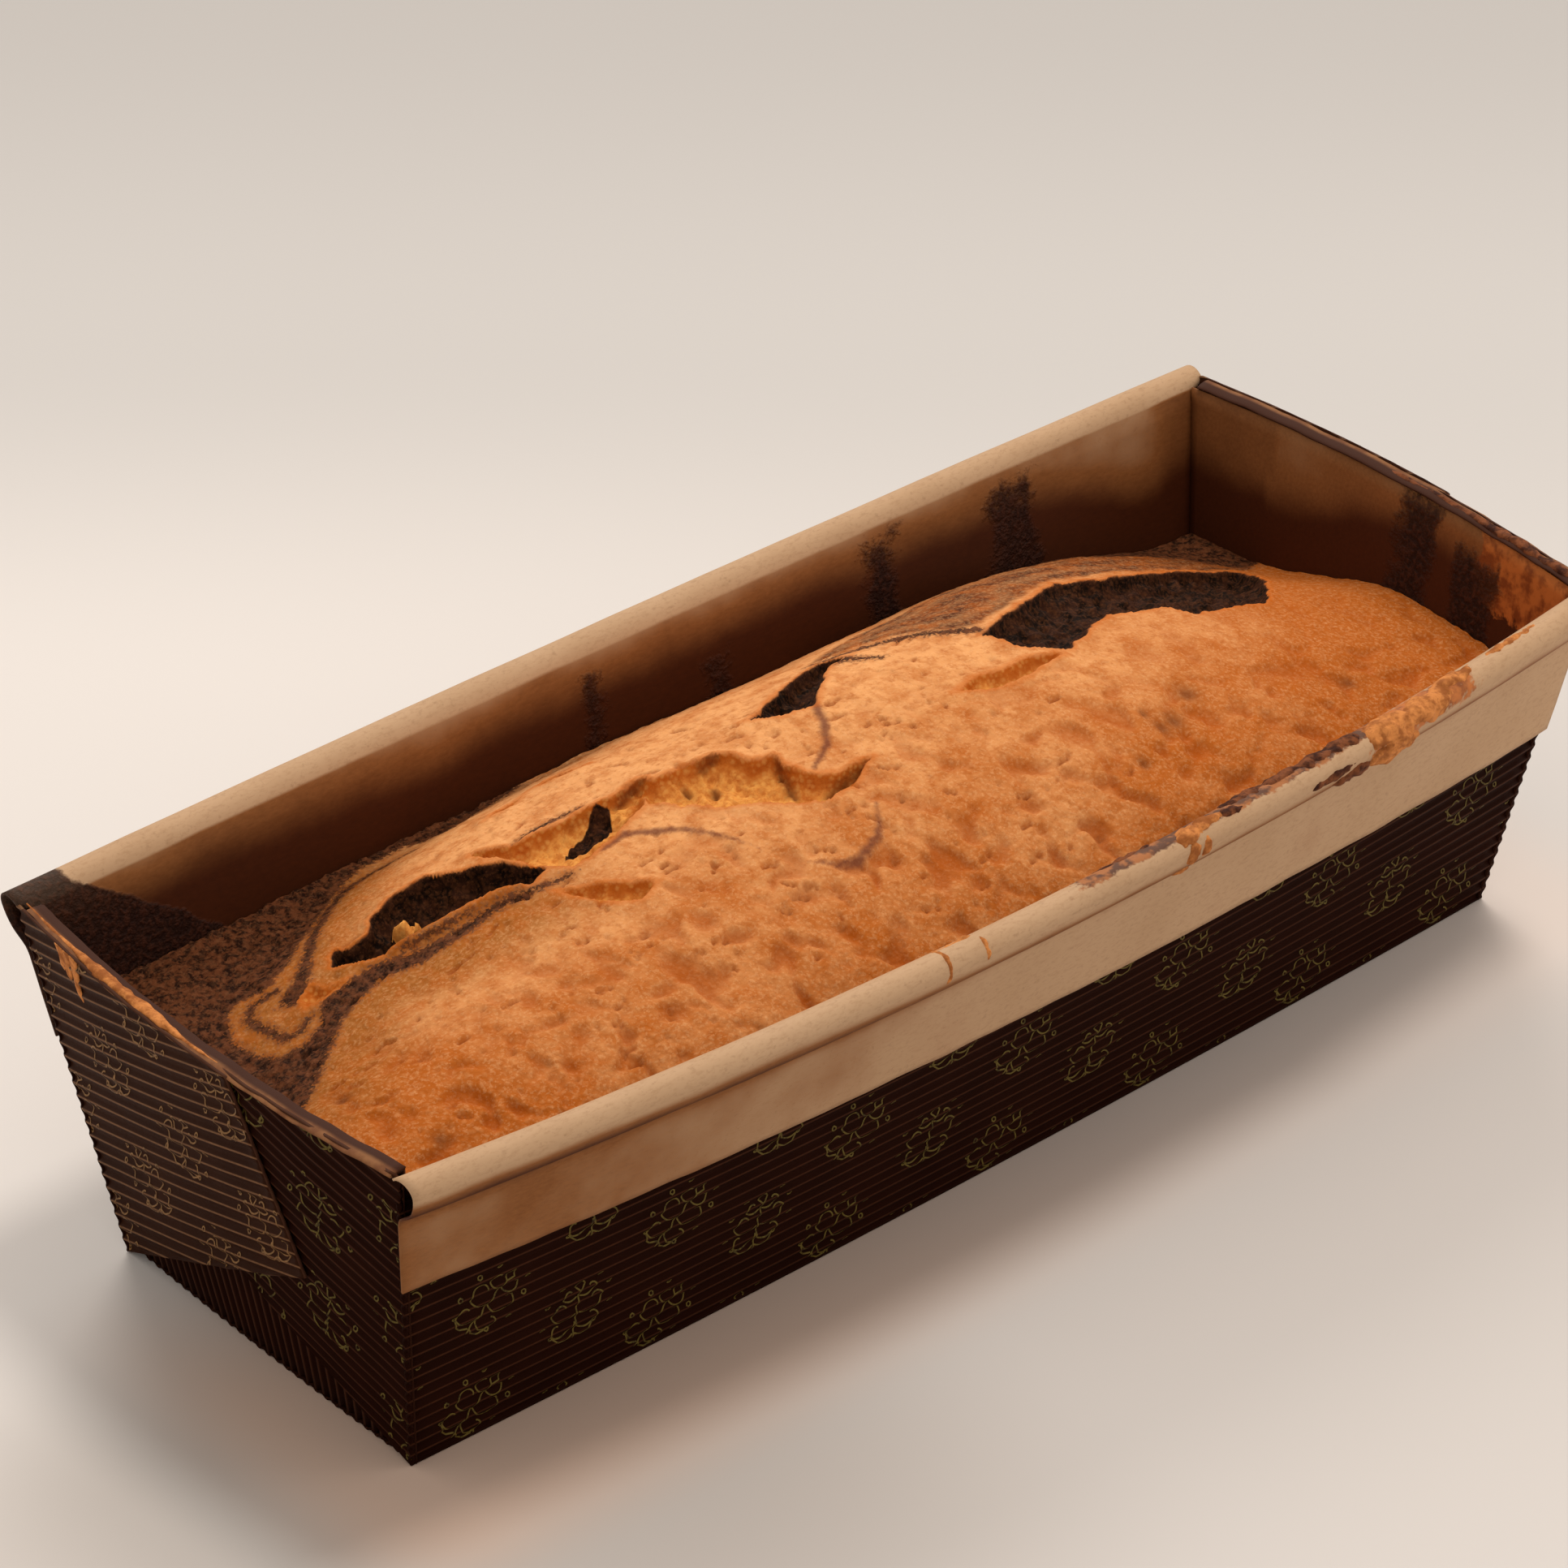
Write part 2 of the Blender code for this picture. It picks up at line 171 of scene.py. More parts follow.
# crumbs in the large tear: x, y, radius, how far each stands above the floor
STRAY_CRUMBS = [(-67.1, 13.7, 1.5, 3.2), (-65.4, 12.5, 0.8, 2.4), (-66.2, 11.8, 0.7, 2.2)]

# ---- relief of the crust ----
CAKE_CELLS = (520, 180)
FINE_CELLS = ((-0.86, 0.24, 1.7), (-0.30, 0.62, 1.5))   # where the mesh is closer, and how much
SWELL = (26.0, 0.55)          # length and height of each set of waves
RIPPLE = (10.0, 0.30)
DIMPLE = (5.2, 0.88)
DIMPLE_WARP = 2.2             # how far the dimples' edges wander
GRAIN = (2.3, 0.20)           # size and height of the crust's grains
FINE_GRAIN = (1.1, 0.09)
NEAR_SIDE = (8.0, 42.0)       # dimples deepen from this y over this distance towards the near wall
JAG = ((3.2, 0.55), (1.3, 0.22))
DEEP_TEAR = 2.4               # from this depth on a tear's edge is as jagged as JAG says
LIP = 0.5                     # height of the torn edge over the crust
LIP_WIDTH = 1.6
WALL = (1.2, 4.0)             # the torn edge drops steeply over the first, then slopes
CRUMB_TURN = 3.5              # how sharply chocolate takes over from the rim inwards
PORES = 170
SHORT_CRACKS = 130
PIT_SHADE = 0.3               # how dark the painted shade in pores and short cracks is
PORE_DEPTH = 0.45
CRACK = (0.26, 0.6)           # half width and depth
SPECK_DEPTH = 0.5
CRAZING = (5.0, 0.09, 0.35)   # spacing, half width and depth of the low crust's fine cracks
POCKET_DEPTH = 0.9
HOLE_DEPTH = 0.7
FLAKE_HEIGHT = 0.9
BARE_CRUMB = ((2.6, 0.6), (0.95, 0.25))   # size and height of its coarse and fine lumps
SPONGE = (2.3, 0.5)           # size and depth of the holes in the bare crumb

FAT_AND_SHADE_LINE = 49.4            # height of the line of fat under the roll, which also paints the shade under it
ROLL_TURN = 12                # rows of the section past the inner wall, to where it turns down

# ---- films of batter on the lining: place along the wall, lowest, highest, half width ----
FAR_WALL_FILMS = [(-11.5, 38, 50.5, 0.8), (10.8, 38, 44.5, 1.2), (42.2, 38, 51.5, 2.2),
                  (68.0, 36, 51.5, 4.0)]
FAR_END_FILMS = [(-3.5, 30, 54, 3.4), (-16.5, 28, 50, 4.0)]

# ---- corrugated paper ----
RIB_PITCH = 2.1
RIB_DEPTH = 0.42
RIB_STEPS = 8                 # facets across one rib
FIRST_RIB = 0.15              # where the ribs begin above the fold
PANEL_HALF = 38               # how far an end wall's ribs reach from its middle
UNDERSIDE_HALF = 31
LAYER_NAMES = ("inner", "outer")
FLAP_SLOPE = math.tan(math.radians(17.4))
PAPER = 0.3                   # thickness of one paper layer
PANEL_SUNK = 0.4              # the end wall's own face lies this far under the flaps' bed
BAND_BOTTOM_WAVE = 0.25

# ---- the photographed view ----
PHOTO_SIZE = 1932
EYE = (-477.164, -529.394, 511.490)
AZIMUTH = -0.7205
ELEVATION = 0.5758
ROLL = 0.0033
FOCAL_PIXELS = 7704.8
SHIFT_PIXELS = 1.032
SENSOR = 36.0


# ==== numbers and fields ====
def mix(a, b, t):
    return a + (b - a) * t


def smooth(t):
    """0 below 0, 1 above 1, and an S-curve between."""
    t = np.clip(t, 0.0, 1.0)
    return t * t * (3 - 2 * t)


LATTICE = 256


def waves(x, y, length, seed):
    """Smooth random waves about -1 to 1 high, length apart from crest to crest."""
    turn = np.random.default_rng(seed).uniform(0, 2 * math.pi, (LATTICE, LATTICE))
    x = np.asarray(x) / length
    y = np.asarray(y) / length
    column = np.floor(x).astype(int)
    row = np.floor(y).astype(int)
    fx = x - column
    fy = y - row

    def corner(i, j):
        angle = turn[(column + i) % LATTICE, (row + j) % LATTICE]
        return np.cos(angle) * (fx - i) + np.sin(angle) * (fy - j)

    sx = fx * fx * fx * (fx * (fx * 6 - 15) + 10)
    sy = fy * fy * fy * (fy * (fy * 6 - 15) + 10)
    low = mix(corner(0, 0), corner(1, 0), sx)
    high = mix(corner(0, 1), corner(1, 1), sx)
    return 1.5 * mix(low, high, sy)


def layered(x, y, length, seed, octaves=3):
    """Waves with finer and lower waves on top of them."""
    return sum(waves(x, y, length / 2 ** k, seed + k) / 2 ** k for k in range(octaves))


def nearest_cell(x, y, size, seed):
    """Distance to the nearest of many scattered points, in units of their spacing."""
    shift = np.random.default_rng(seed).uniform(0, 1, (2, LATTICE, LATTICE))
    x = x / size
    y = y / size
    column = np.floor(x).astype(int)
    row = np.floor(y).astype(int)
    best = np.full(np.shape(x), 9.0)
    for i in (-1, 0, 1):
        for j in (-1, 0, 1):
            across, along = shift[:, (column + i) % LATTICE, (row + j) % LATTICE]
            best = np.minimum(best, np.hypot(column + i + across - x, row + j + along - y))
    return best


def off_segment(x, y, a, b):
    """Where on the segment from a to b its point nearest to (x, y) lies, and how far off it is."""
    dx = b[0] - a[0]
    dy = b[1] - a[1]
    t = np.clip(((x - a[0]) * dx + (y - a[1]) * dy) / (dx * dx + dy * dy), 0, 1)
    return t, np.hypot(x - a[0] - t * dx, y - a[1] - t * dy)


def outline_depth(x, y, outline):
    """How far (x, y) lies inside a closed outline; negative outside it."""
    nearest = np.full(np.shape(x), np.inf)
    inside = np.zeros(np.shape(x), bool)
    for a, b in zip(outline, outline[1:] + outline[:1]):
        nearest = np.minimum(nearest, off_segment(x, y, a, b)[1])
        if a[1] != b[1]:
            crossing = a[0] + (y - a[1]) / (b[1] - a[1]) * (b[0] - a[0])
            inside ^= ((a[1] > y) != (b[1] > y)) & (x < crossing)
    return np.where(inside, nearest, -nearest)


def line_depth(x, y, *spines):
    """How far (x, y) lies inside lines of varying half width; negative beside them."""
    best = np.full(np.shape(x), -np.inf)
    for spine in spines:
        for a, b in zip(spine, spine[1:]):
            t, away = off_segment(x, y, a, b)
            best = np.maximum(best, mix(a[2], b[2], t) - away)
    return best


# ==== shapes shared with the CAD ====
def side_wall_y(side, u, z):
    low, high = NEAR_BOW if side < 0 else FAR_BOW
    up = z / WALL_HEIGHT
    reach = BASE_WIDTH / 2 + SIDE_FLARE * up + mix(low, high, up) * (1 - u * u)
    return side * reach + CENTRE_SHIFT


def share_across(y, z):
    """Where y lies between the long walls at height z of the ends, from -1 to 1."""
    return (y - CENTRE_SHIFT) / (side_wall_y(1, 1, z) - CENTRE_SHIFT)


def end_wall_x(end, v, z):
    up = z / WALL_HEIGHT
    return end * (BASE_LENGTH / 2 + END_FLARE * up + mix(*END_BOW, up) * (1 - v * v))


def inside_case(u, v, z, inset):
    half_length = end_wall_x(1, v, z) - inset
    near = side_wall_y(-1, u, z) + inset
    far = side_wall_y(1, u, z) - inset
    return u * half_length, mix(near, far, (v + 1) / 2)


def dome_height(x, y):
    along = smooth((x - CHANGE_X[0]) / (CHANGE_X[1] - CHANGE_X[0]))
    crest_y = mix(*CREST_Y, along)
    near_share = smooth((crest_y + LEAN[0] - y) / LEAN[1])
    foot = mix(mix(*FAR_CRUST, along), mix(*NEAR_CRUST, along), near_share)
    reach_x = mix(np.where(x < 0, abs(FOOT_X[0]), abs(FOOT_X[1])), NEAR_FOOT_X, near_share)
    reach_y = np.where(y > crest_y, mix(*FAR_REACH, along), crest_y - NEAR_WALL_Y)
    power = mix(mix(*FAR_CORNER, along), NEAR_CORNER, near_share)
    radius = (np.abs(x / reach_x) ** power + np.abs((y - crest_y) / reach_y) ** power)
    radius = radius ** (1 / power)
    rise = 1 - radius * radius
    rise = (rise + np.sqrt(rise * rise + FOOT_SOFTNESS)) / 2
    return foot + (mix(*CREST, along) - foot) * rise


# ==== meshes ====
def grid(a, b):
    return np.meshgrid(a, b, indexing="ij")


def points_at(x, y, z):
    """The points with these coordinates, as rows of three."""
    return np.stack(np.broadcast_arrays(x, y, z), -1)


def grid_quads(rows, columns, first=0, closed=False):
    """Quads of a rows x columns array of points, numbered row by row from first."""
    r, c = grid(np.arange(rows - 1), np.arange(columns if closed else columns - 1))
    a = first + r * columns + c
    b = first + r * columns + (c + 1) % columns
    return np.stack([a, b, b + columns, a + columns], -1).reshape(-1, 4)


def add_object(name, data):
    made = bpy.data.objects.new(name, data)
    bpy.context.scene.collection.objects.link(made)
    return made


def make_piece(name, points, quads, material, attributes=None, extra_faces=()):
    """A smooth-shaded object of these points, in millimetres."""
    mesh = bpy.data.meshes.new(name)
    faces = np.asarray(quads).tolist() + [list(face) for face in extra_faces]
    mesh.from_pydata((np.asarray(points).reshape(-1, 3) * MM).tolist(), [], faces)
    for label, values in (attributes or {}).items():
        layer = mesh.attributes.new(label, "FLOAT", "POINT")
        layer.data.foreach_set("value", np.asarray(values, np.float32).ravel())
    mesh.validate()
    mesh.shade_smooth()
    mesh.materials.append(material)
    return add_object(name, mesh)


def thicken(piece, thickness, cut_edge=None, is_cut=None):
    """Gives an open sheet its thickness; edges where is_cut(x, y, z) get the cut material."""
    shell = piece.modifiers.new("paper", "SOLIDIFY")
    shell.thickness = thickness * MM
    shell.offset = -1.0
    shell.use_even_offset = False
    if cut_edge is not None:
        piece.data.materials.append(cut_edge)
        shell.material_offset_rim = 1
    bpy.context.view_layer.update()
    depsgraph = bpy.context.evaluated_depsgraph_get()
    final = bpy.data.meshes.new_from_object(piece.evaluated_get(depsgraph))
    piece.modifiers.clear()
    piece.data = final
    if cut_edge is not None:
        for face in final.polygons:
            if face.material_index == 1 and not is_cut(*(face.center / MM)):
                face.material_index = 0


def place(piece, slot, *nodes):
    """Hands a finished piece over: what it rides on and the solid it replaces, which it hides; its
    material's slot is not used.
    """
    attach(piece, "root")
    if nodes:
        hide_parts(*nodes)


def turned_to(right, top, back, at):
    """The matrix of an object at a place, with its axes turned these ways."""
    return Matrix([[right[k], top[k], back[k], at[k]] for k in range(3)] + [[0, 0, 0, 1]])


# ==== materials ====
def srgb(red, green, blue):
    """Linear colour of an ordinary 0-255 colour."""
    def linear(c):
        c = c / 255
        return c / 12.92 if c <= 0.04045 else ((c + 0.055) / 1.055) ** 2.4
    return (linear(red), linear(green), linear(blue), 1.0)


class Finish:
    """A material under construction; each method adds a node and returns its output."""

    def __init__(self, name, roughness=0.8, specular=0.3):
        self.material = bpy.data.materials.new(name)
        self.material.use_nodes = True
        self.tree = self.material.node_tree
        self.tree.nodes.clear()
        out = self.tree.nodes.new("ShaderNodeOutputMaterial")
        self.shader = self.tree.nodes.new("ShaderNodeBsdfPrincipled")
        self.tree.links.new(self.shader.outputs[0], out.inputs[0])
        self.feed(self.shader, {"Roughness": roughness, "Specular IOR Level": specular})
        self.place = self.node("TexCoord", "Object")

    def feed(self, node, values):
        """Links outputs to a node's inputs, or sets plain values on them."""
        for key, value in values.items():
            if isinstance(value, bpy.types.NodeSocket):
                self.tree.links.new(value, node.inputs[key])
            else:
                node.inputs[key].default_value = value

    def node(self, kind, output=0, values=(), **settings):
        node = self.tree.nodes.new("ShaderNode" + kind)
        for name, setting in settings.items():
            setattr(node, name, setting)
        self.feed(node, dict(values))
        return node.outputs[output]

    def noise(self, size, detail=2.0, roughness=0.5, stretch=None):
        """Noise whose features are about size millimetres across."""
        place = self.place
        if stretch:
            place = self.node("Mapping", 0, {"Vector": place, "Scale": stretch})
        return self.node("TexNoise", 0, {"Vector": place, "Scale": 1 / (size * MM),
                                         "Detail": detail, "Roughness": roughness})

    def cells(self, size):
        place = {"Vector": self.place, "Scale": 1 / (size * MM)}
        return self.node("TexVoronoi", "Distance", place)

    def field(self, name):
        """One of the mesh's own attributes."""
        return self.node("Attribute", "Fac", attribute_name=name)

    def math(self, operation, a, b=0.0, c=0.0):
        return self.node("Math", 0, {0: a, 1: b, 2: c}, operation=operation)

    def times(self, a, b):
        return self.math("MULTIPLY", a, b)

    def plus(self, a, b):
        return self.math("ADD", a, b)

    def scaled(self, value, factor, offset):
        """value * factor + offset"""
        return self.math("MULTIPLY_ADD", value, factor, offset)

    def step(self, value, low, high):
        return self.node("MapRange", 0, {"Value": value, "From Min": low, "From Max": high},
                         interpolation_type="SMOOTHSTEP")

    def beyond(self, value, edge):
        """How far value lies outside -edge to edge."""
        return self.math("MAXIMUM", self.math("SUBTRACT", self.math("ABSOLUTE", value), edge), 0.0)

    def mix(self, factor, a, b):
        """From a to b; each is an output or an ordinary 0-255 colour."""
        a, b = (srgb(*c) if isinstance(c, tuple) else c for c in (a, b))
        return self.node("Mix", 2, {0: factor, 6: a, 7: b}, data_type="RGBA")

    def over(self, under, *layers):
        """Lays colours over each other: (colour, where it covers, its share there at most)."""
        for colour, cover, *share in layers:
            under = self.mix(self.times(cover, *share) if share else cover, under, colour)
        return under

    def bump(self, height, depth, strength, under=None):
        values = {"Strength": strength, "Distance": depth * MM, "Height": height}
        if under is not None:
            values["Normal"] = under
        return self.node("Bump", 0, values)

    def finish(self, colour, normal=None, roughness=None):
        values = {"Base Color": colour, "Normal": normal, "Roughness": roughness}
        self.feed(self.shader, {key: v for key, v in values.items() if v is not None})
        return self.material


def crust_finish():
    """Golden crust, dark chocolate crust and the crumb of both in the tears, with painted highlights
    on lumps and painted shade in hollows, pits and the tears.
    """
    look = Finish("baked_crust_look", roughness=0.8, specular=0.08)
    look.shader.inputs["Specular Tint"].default_value = (1.0, 0.85, 0.7, 1.0)
    fine = look.noise(0.5, 3.0, 0.6)
    grain = look.noise(1.1, 3.0, 0.65)
    mottle = look.noise(2.6, 3.0, 0.6)
    patch = look.noise(5.0, 2.0, 0.5)
    broad = look.noise(26.0, 2.0)
    cobble = look.scaled(fine, 0.5, look.cells(0.85))
    # painted highlight: the tops of the crust's lumps are lighter, as if lit from above
    lump_top_highlight = look.math("SUBTRACT", 1.0, look.step(cobble, 0.38, 0.85))
    # light grains of the crust's own colour, which on the dark crumb serve as painted fine highlights
    light_grains_and_highlights = look.step(fine, 0.5, 0.64)
    torn_edge = look.step(look.field("opened"), -1.1, -0.1)
    calm = look.scaled(torn_edge, -0.8, 1.0)
    ragged = look.scaled(grain, 2.0, -1.0)
    peppered = look.scaled(fine, 3.4, -1.7)
    peppered = look.times(look.plus(ragged, peppered), calm)
    chocolate = look.plus(look.field("chocolate"), peppered)
    full_chocolate = look.step(chocolate, -0.2, 0.5)
    opened = look.step(look.scaled(ragged, 0.25, look.field("opened")), 0.0, 0.4)

    browning_and_shade = look.scaled(patch, 0.7, look.field("browning_and_shade"))
    browning_and_shade = look.scaled(broad, 0.4, browning_and_shade)
    golden = look.over(
        look.mix(look.step(browning_and_shade, 0.25, 1.4), (229, 161, 101), (178, 93, 29)),
        ((158, 92, 34), look.field("pale")),
        ((80, 38, 18), look.field("brown_marble")),
        ((180, 92, 24), look.step(patch, 0.48, 0.68), 0.35),
        ((174, 88, 22), look.step(mottle, 0.46, 0.66), 0.4),
        ((166, 83, 22), look.step(grain, 0.5, 0.68), 0.4),
        ((230, 168, 110), lump_top_highlight, 0.16),
        ((242, 188, 134), light_grains_and_highlights, 0.2),
        # painted shade in the dimples and short cracks
        ((160, 71, 10), look.field("hollow"), 0.7),
        # dark specks, and painted shade in pores and short cracks
        ((112, 58, 26), look.field("specks_and_pit_shade")))
    line = look.step(look.scaled(ragged, 0.5, look.field("faint_line")), -0.6, 0.5)
    golden = look.over(
        golden,
        ((104, 52, 40), line, 0.8),
        ((196, 100, 30), torn_edge, 0.5))

    dark = look.over(
        look.mix(look.step(grain, 0.38, 0.62), (34, 14, 7), (100, 55, 31)),
        ((126, 82, 52), lump_top_highlight, 0.16),
        ((128, 84, 56), light_grains_and_highlights, 0.3),
        # painted shade in the dimples of the dark crust
        ((26, 10, 5), look.field("hollow")))
    halo = look.times(look.step(chocolate, -1.0, 0.1), 0.45)
    crust = look.over(golden, ((122, 70, 40), halo), (dark, full_chocolate))

    # painted shade in the tears: the crumb is darker near the torn rim, which shades it, and lighter
    # deeper in
    inner = look.scaled(mottle, 2.0, look.field("opened"))
    crumb = look.over(
        look.mix(look.step(inner, 1.2, 4.0), (176, 88, 22), (228, 154, 74)),
        ((172, 84, 20), look.step(grain, 0.62, 0.36), 0.55),
        ((240, 182, 100), lump_top_highlight, 0.26))
    # painted shade in the crumb's deep folds
    pocket = look.scaled(ragged, 0.7, look.field("pocket"))
    crumb = look.over(crumb, ((96, 40, 12), look.step(pocket, -1.1, 0.4), 0.85))
    dark_crumb = look.over(
        look.mix(look.step(mottle, 0.42, 0.6), (16, 5, 2), (48, 23, 12)),
        ((102, 58, 30), lump_top_highlight, 0.25),
        ((108, 64, 36), light_grains_and_highlights, 0.3))
    inside = look.mix(full_chocolate, crumb, dark_crumb)
    colour = look.mix(opened, crust, inside)

    cobbled = look.bump(cobble, -0.12, 0.5)
    rolling = look.bump(mottle, 0.4, 0.6, cobbled)
    grained = look.bump(grain, 0.24, 0.6, rolling)
    return look.finish(colour, look.bump(fine, 0.12, 0.6, grained))


def kraft_finish():
    """Smooth brown kraft liner, dark where the cake's fat soaked in and where shade is painted low in
    the case and under the roll, with films of batter.
    """
    look = Finish("kraft_liner_look", roughness=0.65, specular=0.15)
    fibre = look.noise(0.5, 3.0, 0.7, (0.4, 1.0, 1.0))
    fleck = look.noise(0.8, 2.0, 0.6)
    blotch = look.noise(2.6, 3.0, 0.6)
    cloud = look.noise(14.0, 3.0)
    paper = look.over(
        look.mix(cloud, (180, 143, 107), (200, 164, 129)),
        ((152, 112, 76), look.step(fibre, 0.45, 0.72), 0.3),
        ((128, 92, 62), look.step(fleck, 0.58, 0.76), 0.25))
    soak_and_shade = look.scaled(look.math("SUBTRACT", cloud, 0.5), 0.4, look.field("soaked_and_shaded"))
    light_soak_and_shade = look.mix(fibre, (118, 70, 32), (158, 102, 56))
    deep_soak_and_shade = look.mix(fibre, (56, 22, 5), (80, 36, 11))
    paper = look.over(
        paper,
        (light_soak_and_shade, look.step(soak_and_shade, 0.02, 0.36)),
        (deep_soak_and_shade, look.step(soak_and_shade, 0.24, 0.85)))

    ragged = look.scaled(fleck, 2.4, -1.2)
    ragged = look.scaled(blotch, 3.0, look.math("SUBTRACT", ragged, 1.5))
    smear = look.step(look.plus(look.field("smear"), ragged), -0.4, 0.5)
    stain = look.mix(look.step(blotch, 0.42, 0.6), (78, 42, 32), (164, 98, 52))
    paper = look.over(paper, (stain, smear, 0.9))
    orange = look.step(look.plus(look.field("orange_batter"), ragged), -0.3, 0.6)
    baked = look.mix(look.step(blotch, 0.35, 0.6), (128, 62, 22), (188, 106, 46))
    paper = look.over(paper, (baked, orange, 0.9))
    batter = look.step(look.scaled(ragged, 0.45, look.field("batter")), -0.5, 0.4)
    film = look.mix(look.step(fleck, 0.4, 0.7), (34, 14, 7), (64, 32, 19))
    paper = look.over(paper, (film, batter, 0.94))
    normal = look.bump(fibre, 0.04, 0.4, look.bump(cloud, 0.5, 0.3))
    return look.finish(paper, look.bump(look.times(batter, fleck), 0.5, 0.8, normal))


def cut_paper_finish():
    """The brown cut edges of the paper, all layers together."""
    look = Finish("cut_paper_look", roughness=0.8, specular=0.2)
    fibre = look.noise(0.6, 3.0, 0.7)
    patch = look.noise(4.0, 3.0, 0.6)
    paper = look.over(
        look.mix(look.step(patch, 0.35, 0.65), (112, 68, 40), (140, 94, 58)),
        ((84, 48, 26), look.step(fibre, 0.45, 0.7), 0.15),
        ((62, 30, 14), look.step(look.field("inward"), -0.45, 0.1)))
    return look.finish(paper, look.bump(fibre, 0.06, 0.5))


def printed_finish(name, dark, light, ridge_colour):
    """The dark brown printed outside of the corrugated paper, with a painted highlight on the ridges
    of its ribs.
    """
    look = Finish(name, roughness=0.5, specular=0.02)
    look.shader.inputs["Specular Tint"].default_value = (1.0, 0.7, 0.52, 1.0)
    fibre = look.noise(0.6, 3.0, 0.6)
    cloud = look.noise(9.0, 3.0)
    ink = look.mix(cloud, dark, light)
    # painted highlight: the ridges are lighter, as if light caught them
    ridge = look.step(look.field("ridge"), 0.88, 1.0)
    lighter_ink_share = look.times(ridge, look.scaled(fibre, 0.9, 0.2))
    ink = look.over(ink, (ridge_colour, lighter_ink_share))
    roughness = look.scaled(fibre, 0.25, 0.38)
    return look.finish(ink, look.bump(fibre, 0.03, 0.5), roughness)


def sprig_finish(name, thin, full):
    """Ink that covers the ribs unevenly."""
    look = Finish(name, roughness=0.5, specular=0.12)
    lighter_ink_share = look.noise(0.7, 3.0, 0.7)
    return look.finish(look.mix(look.step(lighter_ink_share, 0.3, 0.55), thin, full))


def batter_finish(name, dark, light):
    """Baked batter that ran over the rim."""
    look = Finish(name, roughness=0.8, specular=0.12)
    grain = look.noise(0.7, 3.0, 0.6)
    patch = look.noise(2.2, 3.0, 0.6)
    colour = look.over(look.mix(look.step(patch, 0.36, 0.62), dark, light),
                       (dark, look.step(grain, 0.48, 0.7), 0.55))
    return look.finish(colour, look.bump(grain, 0.25, 0.8))


# ==== the cake ====
def random_marks(count, seed, low, high):
    return np.random.default_rng(seed).uniform(low, high, (count, len(low)))


def torn_crust(x, y, jag):
    """The tears: their depth and lips, how far inside one a point is, and the crumb's looks."""
    opened = np.full(x.shape, OUTSIDE)
    crumb_chocolate = np.full(x.shape, OUTSIDE)
    relief = np.zeros(x.shape)
    for depth, rim, outline in TEARS.values():
        inside = outline_depth(x, y, outline) + jag * min(1.0, depth / DEEP_TEAR)
        wall = 0.45 * smooth(inside / WALL[0]) + 0.55 * smooth(inside / WALL[1])
        relief = np.minimum(relief, -depth * wall)
        opened = np.maximum(opened, inside)
        crumb_chocolate = np.maximum(crumb_chocolate, CRUMB_TURN * (inside - rim))
    pocket = line_depth(x, y, *POCKETS)
    relief = relief - POCKET_DEPTH * smooth((pocket + 0.6) / 1.2) * smooth(opened)
    hole = outline_depth(x, y, DARK_HOLE)
    relief = relief - HOLE_DEPTH * smooth(hole / 1.2)
    crumb_chocolate = np.maximum(crumb_chocolate, CRUMB_TURN * hole)
    torn = smooth(opened / 0.6)
    lips = LIP * np.exp(-(np.minimum(opened, 0) / LIP_WIDTH) ** 2)
    lips *= (1 - torn) * (0.7 + 0.6 * waves(x, y, 6.0, 31))
    lips += FLAKE_HEIGHT * smooth((line_depth(x, y, FLAKE) + 0.6) / 1.2)
    for cx, cy, radius, rise in STRAY_CRUMBS:
        crumb = np.clip(1 - ((x - cx) ** 2 + (y - cy) ** 2) / radius ** 2, 0, 1)
        crumb *= 1 + 0.8 * jag + 0.5 * waves(x, y, 1.1, 47)
        relief += rise * np.sqrt(np.clip(crumb, 0, 1))
        crumb_chocolate = np.where(crumb > 0.02, -2.0, crumb_chocolate)
    return relief, lips, torn, opened, crumb_chocolate, pocket


def prick(x, y, relief, hollow, specks_and_pit_shade):
    """Adds the pores and the short cracks to the crust's fields, with painted shade in them."""
    for px, py, size in random_marks(PORES, 71, (-98, -36, 0.25), (26, 24, 0.5)):
        window = (np.abs(x - px) < 2) & (np.abs(y - py) < 2)
        pit = np.exp(-((x[window] - px) ** 2 + (y[window] - py) ** 2) / size ** 2)
        relief[window] -= PORE_DEPTH * pit
        specks_and_pit_shade[window] = np.maximum(specks_and_pit_shade[window], PIT_SHADE * pit)
    for px, py, turn, reach in random_marks(SHORT_CRACKS, 72, (-98, -34, -0.9, 0.6),
                                            (30, 20, 0.5, 1.9)):
        window = (np.abs(x - px) < 4) & (np.abs(y - py) < 4)
        dx = x[window] - px
        dy = y[window] - py
        along = dx * math.cos(turn) + dy * math.sin(turn)
        across = dy * math.cos(turn) - dx * math.sin(turn)
        across = across + 0.45 * waves(x[window], y[window], 1.6, 73)
        cut = np.exp(-(across / CRACK[0]) ** 2) * smooth((reach - np.abs(along)) / 0.6)
        relief[window] -= CRACK[1] * cut
        hollow[window] = np.maximum(hollow[window], cut)
        specks_and_pit_shade[window] = np.maximum(specks_and_pit_shade[window], PIT_SHADE * cut)


